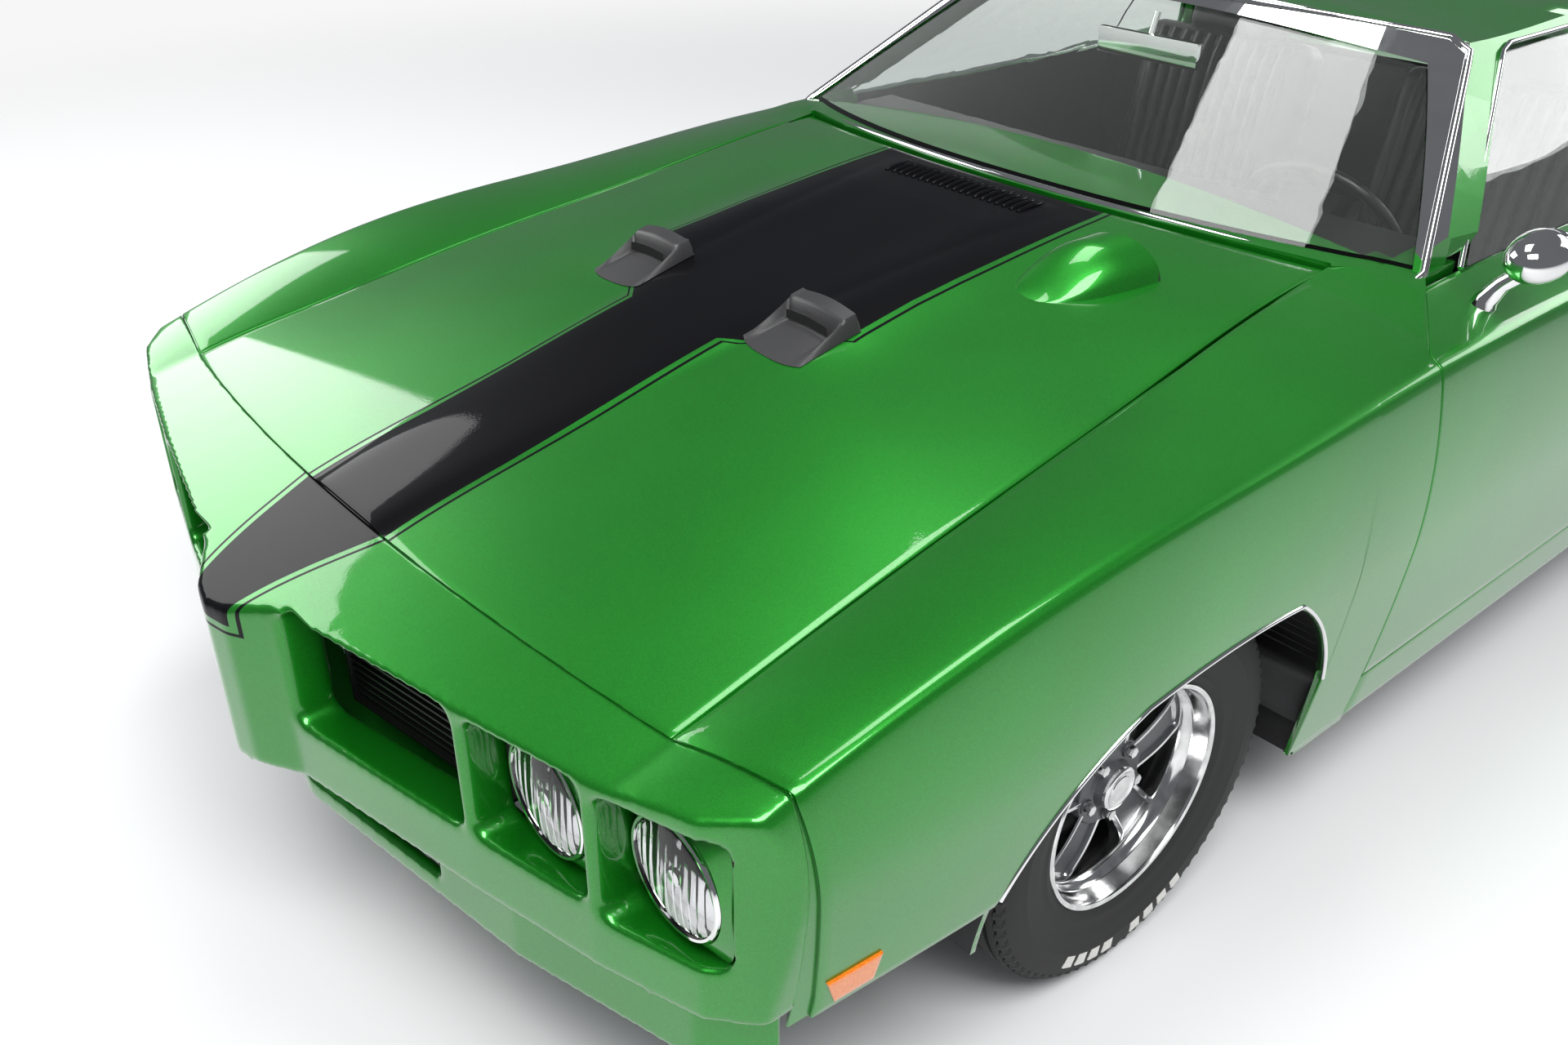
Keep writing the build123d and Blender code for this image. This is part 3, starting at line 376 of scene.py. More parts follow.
def spline(xs, ys, x):
    # Natural cubic through the table's rows.
    xs, ys = np.array(xs, float), np.array(ys, float)
    n = len(xs)
    h = np.diff(xs)
    a = np.zeros((n, n))
    b = np.zeros((n,) + ys.shape[1:])
    a[0, 0] = a[-1, -1] = 1
    for i in range(1, n - 1):
        a[i, i - 1], a[i, i], a[i, i + 1] = h[i - 1], 2 * (h[i - 1] + h[i]), h[i]
        b[i] = 6 * ((ys[i + 1] - ys[i]) / h[i] - (ys[i] - ys[i - 1]) / h[i - 1])
    m = np.linalg.solve(a, b)
    x = np.asarray(x, float)
    k = np.clip(np.searchsorted(xs, x) - 1, 0, n - 2)
    t, hk = x - xs[k], h[k]
    if ys.ndim > 1:
        t, hk = t[..., None], hk[..., None]
    first = (ys[k + 1] - ys[k]) / hk - hk * (2 * m[k] + m[k + 1]) / 6
    return ys[k] + first * t + m[k] / 2 * t ** 2 + (m[k + 1] - m[k]) / (6 * hk) * t ** 3


# body surface

# y, crown z, lid x, lid z, shoulder x, shoulder z, bulge x, bulge z, sill x, sill z
bodyRows = np.array([
    (-2612, 690, 700, 662, 882, 663, 908, 560, 864, 258),
    (-2290, 801, 731, 768, 904, 773, 928, 598, 876, 254),
    (-2055, 852, 720, 812, 918, 837, 945, 608, 892, 242),
    (-1740, 921, 707, 866, 930, 887, 962, 620, 908, 232),
    (-1360, 974, 684, 919, 932, 904, 964, 618, 914, 228),
    (-976, 1018, 665, 973, 933, 924, 965, 618, 916, 228),
    (-200, 1012, 680, 972, 938, 925, 971, 614, 918, 226),
    (500, 1002, 690, 968, 939, 927, 974, 620, 918, 226),
    (1000, 985, 690, 968, 936, 941, 974, 632, 916, 228),
    (1400, 962, 668, 954, 928, 943, 974, 638, 912, 232),
    (1850, 922, 648, 916, 912, 917, 964, 630, 900, 248),
    (2250, 880, 634, 874, 894, 879, 944, 620, 884, 258),
    (2612, 846, 620, 838, 876, 841, 922, 612, 868, 268),
]) / 1000.0


def arcAt(ax, az, bx, bz, crown, t):
    # Point on an arc from a to b whose middle is pushed out by crown, t from 0 to 1.
    dx, dz = bx - ax, bz - az
    run = np.sqrt(dx * dx + dz * dz)
    h = crown * 4 * t * (1 - t)
    return ax + dx * t - dz / run * h, az + dz * t + dx / run * h


def bodyRaw(y, t):
    # Half section of the body: t 0 to 1 crown to lid edge, 2 shoulder, 3 bulge, 4 sill.
    y, t = np.broadcast_arrays(np.asarray(y, float), np.asarray(t, float))
    row = spline(bodyRows[:, 0], bodyRows[:, 1:], y)
    crown, lidX, lidZ, shX, shZ, buX, buZ, siX, siZ = [row[..., i] for i in range(9)]
    t = np.clip(t, 0, 4)
    # the crown is an arc through both lid edges
    x0 = lidX * t
    z0 = crown - (crown - lidZ) * t ** 2
    x1, z1 = arcAt(lidX, lidZ, shX, shZ, 0.007, t - 1)
    x2, z2 = arcAt(shX, shZ, buX, buZ, 0.011, t - 2)
    x3, z3 = arcAt(buX, buZ, siX, siZ, 0.005, t - 3)
    x = np.where(t <= 1, x0, np.where(t <= 2, x1, np.where(t <= 3, x2, x3)))
    z = np.where(t <= 1, z0, np.where(t <= 2, z1, np.where(t <= 3, z2, z3)))
    return x, z


def bodyAt(y, t):
    # The body with its shoulder and bulge rounded off.
    y, t = np.broadcast_arrays(np.asarray(y, float), np.asarray(t, float))
    sign = np.where(t < 0, -1.0, 1.0)
    t = np.abs(t)
    x = np.zeros(t.shape)
    z = np.zeros(t.shape)
    offsets = np.linspace(-1, 1, 9)
    weights = 1 - offsets ** 2 + 0.05
    reach = np.where(t < 1.5, 0.0, np.where(t < 2.5, 0.060, 0.13))
    near = np.where(t < 2.5, np.abs(t - 2), np.abs(t - 3))
    reach = reach * np.clip(1.8 - near / np.maximum(reach, 1e-6) * 0.8, 0, 1)
    for o, w in zip(offsets, weights):
        px, pz = bodyRaw(y, t + o * reach)
        x += px * w / weights.sum()
        z += pz * w / weights.sum()
    return np.stack([x * sign, y, z], axis=-1)


def tAtZ(y, zGoal, low=2.0, high=4.0):
    # The section coordinate where the body's side is zGoal high.
    y = np.atleast_1d(np.asarray(y, float))
    zGoal = np.broadcast_to(np.asarray(zGoal, float), y.shape)
    ts = np.linspace(low, high, 241)
    z = bodyAt(y[:, None], ts[None, :])[..., 2]
    return np.array([np.interp(-g, -row, ts) for g, row in zip(zGoal, z)])


def tAtX(y, x):
    y = np.atleast_1d(np.asarray(y, float))
    x = np.broadcast_to(np.asarray(x, float), y.shape)
    ts = np.linspace(0.0, 2.0, 161)
    xs = bodyAt(y[:, None], ts[None, :])[..., 0]
    return np.array([np.interp(g, row, ts) for g, row in zip(x, xs)])


def shell(points, thickness, innerX=None, roll=0.0016):
    # The outer and inner grid of a panel whose edges are rolled inwards; the inner one may be flat at innerX.
    du = np.gradient(points, axis=0)
    dv = np.gradient(points, axis=1)
    normal = np.cross(du, dv)
    normal /= np.maximum(np.linalg.norm(normal, axis=-1, keepdims=True), 1e-12)
    middle = points[points.shape[0] // 2, points.shape[1] // 2]
    facing = normal[points.shape[0] // 2, points.shape[1] // 2]
    outward = np.array([np.sign(middle[0]) if abs(middle[0]) > 0.3 else 0.0, 0.0, 1.0])
    if np.dot(facing, outward) < 0:
        normal = -normal

    def edgeWay(k, axis):
        inner = 1 if k == 0 else -2
        way = np.take(points, k, axis) - np.take(points, inner, axis)
        return way / np.maximum(np.linalg.norm(way, axis=-1, keepdims=True), 1e-12)

    around = ((2, 2), (2, 2), (0, 0))
    big, nbig = np.pad(points, around, mode="edge"), np.pad(normal, around, mode="edge")
    ways = np.zeros_like(big)
    ways[0:2, 2:-2] += edgeWay(0, 0)
    ways[-2:, 2:-2] += edgeWay(-1, 0)
    ways[2:-2, 0:2] += edgeWay(0, 1)[:, None]
    ways[2:-2, -2:] += edgeWay(-1, 1)[:, None]
    for i, si in ((0, 0), (1, 0), (-1, -1), (-2, -1)):
        for j, sj in ((0, 0), (1, 0), (-1, -1), (-2, -1)):
            ways[i, j] = edgeWay(si, 0)[0 if sj == 0 else -1] + edgeWay(sj, 1)[0 if si == 0 else -1]
    ring = np.full(big.shape[:2], 2)
    ring[[1, -2], :] = ring[:, [1, -2]] = 1
    ring[[0, -1], :] = ring[:, [0, -1]] = 0
    for number, outwards, down in ((1, 0.7, 0.35), (0, 1.0, 1.3)):
        here = ring == number
        big[here] = big[here] + ways[here] * roll * outwards - nbig[here] * roll * down
    inner = big.copy()
    if innerX is not None:
        inner[..., 0] = np.sign(middle[0]) * innerX
    else:
        inner = inner - nbig * thickness
    return big, inner


def addShell(parts, points, thickness=0.014, innerX=None, mat=0):
    # Adds a closed panel made of both grids and a border.
    outer, inner = shell(points, thickness, innerX)
    n, m = outer.shape[:2]
    verts = np.concatenate([outer.reshape(-1, 3), inner.reshape(-1, 3)])
    faces = []
    for i in range(n - 1):
        for j in range(m - 1):
            a, b, c, d = i * m + j, (i + 1) * m + j, (i + 1) * m + j + 1, i * m + j + 1
            faces.append((a, b, c, d))
            faces.append(tuple(v + n * m for v in (d, c, b, a)))
    border = [i * m for i in range(n)] + [(n - 1) * m + j for j in range(1, m)]
    border += [i * m + m - 1 for i in range(n - 2, -1, -1)] + [j for j in range(m - 2, 0, -1)]
    for a, b in zip(border, border[1:] + border[:1]):
        faces.append((a, a + n * m, b + n * m, b))
    parts.add(verts, faces, mat)


def archTop(y, axle, top, forward, back):
    # Height of the wheel opening's edge at y, or 0 outside it.
    d = np.asarray(y, float) - axle

    def arc(p, q, r, x):
        (x1, z1), (x2, z2), (x3, z3) = p, q, r
        k = 2 * (x1 * (z2 - z3) - z1 * (x2 - x3) + x2 * z3 - x3 * z2)
        s1, s2, s3 = x1 * x1 + z1 * z1, x2 * x2 + z2 * z2, x3 * x3 + z3 * z3
        cx = (s1 * (z2 - z3) + s2 * (z3 - z1) + s3 * (z1 - z2)) / k
        cz = (s1 * (x3 - x2) + s2 * (x1 - x3) + s3 * (x2 - x1)) / k
        r2 = (x1 - cx) ** 2 + (z1 - cz) ** 2
        return cz + np.sqrt(np.maximum(r2 - (x - cx) ** 2, 0))
    front = arc((-forward, 0.15), (-forward * 0.84, top - 0.15), (-0.15, top - 0.014), d)
    mid = arc((-0.15, top - 0.014), (0.04, top), (0.225, top - 0.010), d)
    rear = arc((0.225, top - 0.010), (back * 0.87, top - 0.13), (back, 0.15), d)
    z = np.where(d < -0.15, front, np.where(d < 0.225, mid, rear))
    return np.where((d > -forward) & (d < back), z, 0.0)


# wheel openings: axle, top, reach forward and back, lowest panel edge ahead of and behind the wheel
arches = {"front": (frontAxle, 0.650, 0.398, 0.392, 0.405, 0.232),
          "rear": (rearAxle, 0.630, 0.392, 0.398, 0.2325, 0.375)}


def panelLow(ys, end):
    # The lower edge of the side panels around a wheel opening.
    axle, top, forward, back, ahead, behind = arches[end]
    return np.maximum(archTop(ys, axle, top, forward, back), np.where(ys < axle, ahead, behind))


def seamNose(x):
    return -2.348 + x * x / (2 * 4.368)


gap = 0.0055
doorFront, doorRear = -0.947, 0.410
# the door's hinge axis, the radius of the seam around it and the foot of the windscreen pillar
doorX, doorY, seamR, footX, footY = 0.935, -0.904, 0.0435, 0.7595, -0.7026
touchX, touchY = 0.8955, -0.9220


def seamDoor(x):
    # y of the fender's rear edge above the shoulder: a straight line, then an arc about the hinge
    x = np.clip(x, footX, doorX)
    line = footY + (x - footX) / (touchX - footX) * (touchY - footY)
    arc = doorY - np.sqrt(np.maximum(seamR ** 2 - (x - doorX) ** 2, 0))
    return np.where(x < touchX, line, arc)


def fenderRear(x, z):
    slant = seamDoor(x)
    blend = np.clip((z - 0.862) / 0.030, 0, 1)
    return np.where(z > 0.862, doorFront + (slant - doorFront) * blend, doorFront)


def ySteps(y0, y1, ends=(), fine=0.004, coarse=0.018):
    # Stations along the car, close together near the given ends of a wheel opening.
    ys = [y0]
    while ys[-1] < y1 - 1e-9:
        step = coarse
        for e in ends:
            step = min(step, fine + abs(ys[-1] - e) * 0.22)
        ys.append(min(y1, ys[-1] + step))
    return np.array(ys)


def fenderGrid():
    y0, y1 = -2.2865, doorFront
    lines = ySteps(y0, y1, ends=(frontAxle - 0.388, frontAxle + 0.388, y1), fine=0.003)
    rows = np.concatenate([np.linspace(0, 0.34, 26), np.linspace(0.36, 1, 52)])
    grid = np.zeros((len(lines), len(rows), 3))
    u = (lines - y0) / (y1 - y0)
    for j, v in enumerate(rows):
        y = lines.copy()
        for _ in range(3):
            if v <= 0.36:
                t = np.full(len(lines), 1.012 + (2.0 - 1.012) * v / 0.36)
            else:
                t = 2.0 + (tAtZ(y, panelLow(y, "front")) - 2.0) * (v - 0.36) / 0.64
            p = bodyAt(y, t)
            x, z = np.abs(p[:, 0]), p[:, 2]
            front = seamNose(x) + gap + 0.030 * np.clip((0.77 - z) / 0.33, 0, 1)
            width = np.interp(t[-1], [1, 2], [0.665, 0.933])
            back = seamDoor(width) if t[-1] < 2 else doorFront
            y = front + (back - front) * u
        grid[:, j] = bodyAt(y, t)
    return grid


def sideGrid(yFrom, yTo, tTop, zLow, ends=(), rowsTop=14, rowsSide=44, frontOf=None):
    # A panel of the car's side: from tTop(y) over the shoulder down to zLow(y).
    lines = ySteps(yFrom, yTo, ends=ends)
    low = tAtZ(lines, zLow(lines))
    top = tTop(lines)
    grid = np.zeros((len(lines), rowsTop + rowsSide, 3))
    for j in range(rowsTop + rowsSide):
        if j < rowsTop:
            t = top + (2.0 - top) * j / rowsTop
        else:
            t = 2.0 + (low - 2.0) * (j - rowsTop) / (rowsSide - 1)
        y = lines
        if frontOf is not None:
            p = bodyAt(lines, t)
            shift = frontOf(np.abs(p[:, 0]), p[:, 2]) - yFrom
            y = lines + shift * np.clip(1 - (lines - yFrom) / 0.30, 0, 1)
        grid[:, j] = bodyAt(y, t)
    return grid


def mirrored(grid):
    return grid * np.array([-1.0, 1.0, 1.0])


hoodShape = {"rear": -0.985, "rearSweep": 0.137, "rearHalf": 0.66, "ridge": 0.0075,
             "swell": 0.017, "swellX": 0.225, "swellHalf": 0.085, "thick": 0.020}


def hoodRear(x):
    return hoodShape["rear"] + hoodShape["rearSweep"] * (np.abs(x) / hoodShape["rearHalf"]) ** 2


def hoodRise(x, y):
    # The raised middle of the hood and the soft swellings behind the scoops.
    ax = np.abs(x)
    ridgeHalf = np.interp(y, [-2.36, -1.9, -1.2, -0.95], [0.105, 0.135, 0.20, 0.24])
    ridge = hoodShape["ridge"] * np.clip(1 - (ax / ridgeHalf) ** 6, 0, 1) * np.clip((-0.98 - y) / 0.18, 0, 1)
    swell = hoodShape["swell"] * np.exp(-((ax - hoodShape["swellX"]) / hoodShape["swellHalf"]) ** 2)
    swell = swell * np.clip((y + 1.72) / 0.14, 0, 1)
    swell = swell * np.clip((-1.0 - y) / 0.35, 0, 1)
    return ridge + swell


def hoodGrid():
    ts = np.linspace(-0.991, 0.991, 121)
    us = np.linspace(0, 1, 110)
    grid = np.zeros((len(us), len(ts), 3))
    for j, t in enumerate(ts):
        x = t * 0.70
        front = seamNose(x) + gap
        back = hoodRear(x)
        y = front + (back - front) * us
        x = np.abs(bodyAt(y, np.full(len(us), t))[:, 0])
        back = hoodRear(np.minimum(x, hoodShape["rearHalf"]))
        y = front + (back - front) * us
        p = bodyAt(y, np.full(len(us), t))
        p[:, 2] += hoodRise(p[:, 0], y)
        grid[:, j] = p
    return grid


print("stage: panels")
p = Parts()
addShell(p, hoodGrid(), hoodShape["thick"])
p.build("hoodPanel", stripedPaint, "hood_lid", replaces=["hood"], slot="paint")

sideShape = {"thick": 0.010, "belt": 0.7885, "doorInner": 0.7865, "sillTop": 0.3285, "sillLow": 0.2325,
             "doorLow": 0.335, "quarterRear": 2.494}
fenderSide = fenderGrid()
for side, grid in (("left", fenderSide), ("right", mirrored(fenderSide))):
    p = Parts()
    addShell(p, grid, sideShape["thick"])
    p.build("fenderPanel" + side.title(), paint, "body", slot="paint")


def doorFrontAt(x, z):
    return fenderRear(x, z) + gap


doorSide = sideGrid(doorFront + gap, doorRear, lambda ys: tAtX(ys, sideShape["belt"]),
                    lambda ys: np.full(len(ys), sideShape["doorLow"]),
                    ends=(doorFront, doorRear), frontOf=doorFrontAt)
for side, grid in (("left", doorSide), ("right", mirrored(doorSide))):
    p = Parts()
    addShell(p, grid, innerX=sideShape["doorInner"])
    door = p.build("doorPanel" + side.title(), [paint, vinyl], side + "_door",
                   replaces=["door_" + side], slot="paint")
    for face in door.data.polygons:
        face.material_index = 1 if abs(face.center.x) < sideShape["doorInner"] + 0.001 else 0


def quarterTop(ys):
    inner = np.interp(ys, [0.4, 1.20, 1.32, 1.40, 1.60, 2.6], [0.752, 0.742, 0.69, 0.671, 0.664, 0.640])
    lid = spline(bodyRows[:, 0], bodyRows[:, 2], ys) + 0.0030
    return tAtX(ys, np.where(ys > 1.45, lid, np.maximum(inner, lid)))


quarterSide = sideGrid(doorRear + gap, sideShape["quarterRear"], quarterTop, lambda ys: panelLow(ys, "rear"),
                       ends=(rearAxle - 0.384, rearAxle + 0.390, doorRear))


def sillGrid():
    ys = ySteps(doorFront + 0.001, doorRear + gap + 0.002, coarse=0.04)
    top, low = tAtZ(ys, sideShape["sillTop"]), tAtZ(ys, sideShape["sillLow"])
    rows = np.linspace(0, 1, 10)
    t = top[:, None] + (low - top)[:, None] * rows[None, :]
    return bodyAt(np.broadcast_to(ys[:, None], t.shape), t)


for side, sign in (("left", 1), ("right", -1)):
    p = Parts()
    for grid in (quarterSide, sillGrid()):
        addShell(p, grid * np.array([sign, 1, 1]), sideShape["thick"])
    p.build("quarterPanel" + side.title(), paint, "body", slot="paint")

# deck, trunk lid and the strip behind it
for name, body, yFrom, yTo, tMax, steps, thick, nodes in (
        ("deckSkin", "body", 1.275, 1.5115, 0.994, 16, 0.004, []),
        ("trunkSkin", "trunk", 1.519, 2.4395, 0.9905, 60, 0.018, ["trunk_lid"]),
        ("tailStrip", "body", 2.4475, 2.495, 0.994, 16, 0.004, [])):
    p = Parts()
    addShell(p, bodyAt(np.linspace(yFrom, yTo, steps)[:, None], np.linspace(-tMax, tMax, 81)[None, :]), thick)
    p.build(name, paint, body, replaces=nodes, slot="paint")
print("stage: outer panels done")

# soft solids from the CAD


def looseCopy(name, node, mat, move=None):
    # A copy of a CAD piece with its loose triangles joined, and its points moved if asked.
    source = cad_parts[node]
    mesh = source.data.copy()
    mesh.transform(source.matrix_world)
    build = bmesh.new()
    build.from_mesh(mesh)
    bmesh.ops.remove_doubles(build, verts=build.verts, dist=0.00001)
    for v in build.verts if move else ():
        v.co = v.co + move(v.co)
    build.to_mesh(mesh)
    build.free()
    oneMaterial(mesh, mat)
    return link(bpy.data.objects.new(name, mesh))


def remeshed(name, node, voxel, rounds, mat, move=None):
    # A copy of a CAD solid made even and softly rounded.
    obj = looseCopy(name, node, mat, move)
    even = obj.modifiers.new("even", "REMESH")
    even.mode = "VOXEL"
    even.voxel_size = voxel
    soft = obj.modifiers.new("soft", "CORRECTIVE_SMOOTH")
    soft.iterations = rounds
    soft.use_only_smooth = True
    soft.smooth_type = "SIMPLE"
    shown = obj.evaluated_get(bpy.context.evaluated_depsgraph_get())
    obj.data = bpy.data.meshes.new_from_object(shown)
    obj.modifiers.clear()
    oneMaterial(obj.data, mat)
    obj.data.shade_smooth()
    return attach(obj, "body", [node])


def pastSeam(co, reach=0.03):
    # Carries the nose's rear edge along the body, so that its rounded rim can be cut off at the seam.
    if abs(co.y - seamNose(co.x)) >= 0.003:
        return Vector((0, 0, 0))
    t = tAtX(co.y, min(0.9, abs(co.x)))[0]
    return Vector((0, reach, bodyAt(co.y + reach, t)[2] - bodyAt(co.y, t)[2]))


nose = remeshed("noseSkin", "nose", 0.0050, 9, stripedPaint, pastSeam)
for v in nose.data.vertices:
    v.co.y = min(v.co.y, seamNose(v.co.x))
print("stage: nose", len(nose.data.polygons))

# wheels

def aroundTree(name, mat):
    # A node tree that sets Count copies of a mesh around the x axis and gives them a material.
    tree = bpy.data.node_groups.new(name, "GeometryNodeTree")
    for label, way, kind in (("Geometry", "INPUT", "NodeSocketGeometry"), ("Count", "INPUT", "NodeSocketInt"),
                             ("Geometry", "OUTPUT", "NodeSocketGeometry")):
        tree.interface.new_socket(label, in_out=way, socket_type=kind)
    enter, leave, line, points, index, angles, place, real, paintIt = [tree.nodes.new(kind) for kind in (
        "NodeGroupInput", "NodeGroupOutput", "GeometryNodeMeshLine", "GeometryNodeMeshToPoints",
        "GeometryNodeInputIndex", "ShaderNodeCombineXYZ", "GeometryNodeInstanceOnPoints",
        "GeometryNodeRealizeInstances", "GeometryNodeSetMaterial")]
    line.inputs["Offset"].default_value = (0, 0, 0)
    paintIt.inputs["Material"].default_value = mat
    share = math1(tree, "DIVIDE", index.outputs[0], enter.outputs["Count"])
    angle = math1(tree, "MULTIPLY", share, 2 * math.pi)
    for start, end in ((enter.outputs["Count"], line.inputs["Count"]),
                       (line.outputs["Mesh"], points.inputs["Mesh"]),
                       (angle, angles.inputs["X"]),
                       (points.outputs["Points"], place.inputs["Points"]),
                       (enter.outputs["Geometry"], place.inputs["Instance"]),
                       (angles.outputs[0], place.inputs["Rotation"]),
                       (place.outputs["Instances"], real.inputs["Geometry"]),
                       (real.outputs["Geometry"], paintIt.inputs["Geometry"]),
                       (paintIt.outputs["Geometry"], leave.inputs["Geometry"])):
        tree.links.new(start, end)
    return tree


def repeatAround(name, source, count, centre, mat, body, side):
    # Copies of a small mesh set around the wheel's axle.
    mesh = bpy.data.meshes.new(name)
    mesh.from_pydata([tuple(v) for v in source.verts], [], source.faces)
    obj = link(bpy.data.objects.new(name, mesh))
    modifier = obj.modifiers.new("repeat", "NODES")
    modifier.node_group = aroundTree(name + "Tree", mat)
    keys = {s.name: s.identifier for s in modifier.node_group.interface.items_tree if s.in_out == "INPUT"}
    modifier[keys["Count"]] = count
    shown = obj.evaluated_get(bpy.context.evaluated_depsgraph_get())
    obj.data = bpy.data.meshes.new_from_object(shown)
    obj.modifiers.clear()
    for v in obj.data.vertices:
        v.co = Vector((v.co.x * side + centre[0], v.co.y + centre[1], v.co.z + centre[2]))
    build = bmesh.new()
    build.from_mesh(obj.data)
    bmesh.ops.recalc_face_normals(build, faces=build.faces)
    build.to_mesh(obj.data)
    build.free()
    return attach(obj, body)


tyreSizes = {"radius": 0.3335, "bead": 0.1925, "blocks": 78, "marks": 9}


def tyreProfile():
    r, bead = tyreSizes["radius"], tyreSizes["bead"]
    # half width and height above the bead
    side = [(x, bead + up) for x, up in (
        (0.092, 0), (0.097, 0.006), (0.1015, 0.014), (0.1065, 0.024), (0.1070, 0.026), (0.1062, 0.029),
        (0.1110, 0.045), (0.1145, 0.062), (0.1157, 0.078), (0.1163, 0.080), (0.1157, 0.083), (0.1150, 0.096),
        (0.1135, 0.108), (0.1105, 0.119), (0.1100, 0.1205), (0.1085, 0.121))]
    side += [(0.1070, r - 0.014), (0.1020, r - 0.0085)]
    tread = []
    edges = [(0.0985, 0.0845), (0.0775, 0.0530), (0.0460, 0.0165), (0.0095, -0.0095),
             (-0.0165, -0.0460), (-0.0530, -0.0775), (-0.0845, -0.0985)]
    for a, b in edges:
        rise = r - 0.0005 - 0.35 * a * a
        riseB = r - 0.0005 - 0.35 * b * b
        tread += [(a, rise - 0.0085), (a - 0.0008, rise - 0.0006), (a - 0.002, rise), (b + 0.002, riseB),
                  (b + 0.0008, riseB - 0.0006), (b, riseB - 0.0085)]
    left = [(-a, q) for a, q in reversed(side)]
    return side + tread + left


wheels = [("front", "left", 0.775, frontAxle), ("front", "right", -0.775, frontAxle),
          ("rear", "left", 0.764, rearAxle), ("rear", "right", -0.764, rearAxle)]


def makeTyre(end, side, x, y):
    sign = 1 if x > 0 else -1
    body = f"wheel_{end}_{side}"
    centre = (x, y, wheelZ)
    p = Parts()
    profile = tyreProfile()
    inner = [(-0.088, 0.1925), (-0.094, 0.24), (-0.088, 0.300), (0.0, 0.312), (0.088, 0.300), (0.094, 0.24),
             (0.088, 0.1925)]
    p.lathe(profile + inner, centre, steps=120, closed=True, side=sign)
    node = f"tyre_{end}_{side}"
    p.build(f"tyre{end.title()}{side.title()}", rubber, body, replaces=[node], slot="tyre", sharp=40)
    # slanted grooves across the ribs shown as raised lugs at both shoulders
    lug = Parts()
    for s in (1, -1):
        base = np.array([[(0.0990, -0.0085, 0.3265), (0.1085, -0.0085, 0.3165), (0.1120, -0.0080, 0.3000)],
                         [(0.0990, 0.0005, 0.3292), (0.1098, 0.0005, 0.3190), (0.1130, 0.0005, 0.3000)],
                         [(0.0990, 0.0085, 0.3265), (0.1085, 0.0085, 0.3165), (0.1120, 0.0080, 0.3000)]])
        base = base * np.array([s, 1, 1])
        deep = base * np.array([0.93, 1.0, 0.975])
        lug.grid(base)
        lug.grid(deep)
        edge = [0, 1, 2, 5, 8, 7, 6, 3]
        start = len(lug.verts) - 18
        for a, b in zip(edge, edge[1:] + edge[:1]):
            lug.faces.append([start + a, start + b, start + 9 + b, start + 9 + a])
            lug.mats.append(0)
    where = end.title() + side.title()
    repeatAround("tread" + where, lug, tyreSizes["blocks"], centre, rubber, body, sign)
    markRows("marks" + where, centre, body, sign)


markSizes = {"out": (0.11625, 0.1125), "radii": (0.2775, 0.2985), "turn": (-0.041, 0.041), "step": 7.2}


def markRows(name, centre, body, sign):
    # Two groups of plain pale bars on the tyre's side.
    p = Parts()
    for middle in (90.0, 270.0):
        for k in range(tyreSizes["marks"]):
            if k == 4:
                continue
            a0 = math.radians(middle + (k - 4) * markSizes["step"])
            pts = [(centre[0] + sign * h, centre[1] + r * math.cos(a), centre[2] + r * math.sin(a))
                   for h in markSizes["out"] for r in markSizes["radii"]
                   for a in (a0 + turn for turn in markSizes["turn"])]
            faces = [(0, 1, 3, 2), (4, 6, 7, 5), (0, 4, 5, 1), (2, 3, 7, 6), (0, 2, 6, 4), (1, 5, 7, 3)]
            p.add(pts, faces)
    p.build(name, whiteMark, body, slot="tyre", smooth=False)


rimSizes = {"spokeInner": 0.060, "spokeOuter": 0.1785, "spokes": 5, "nutRing": 0.0602}


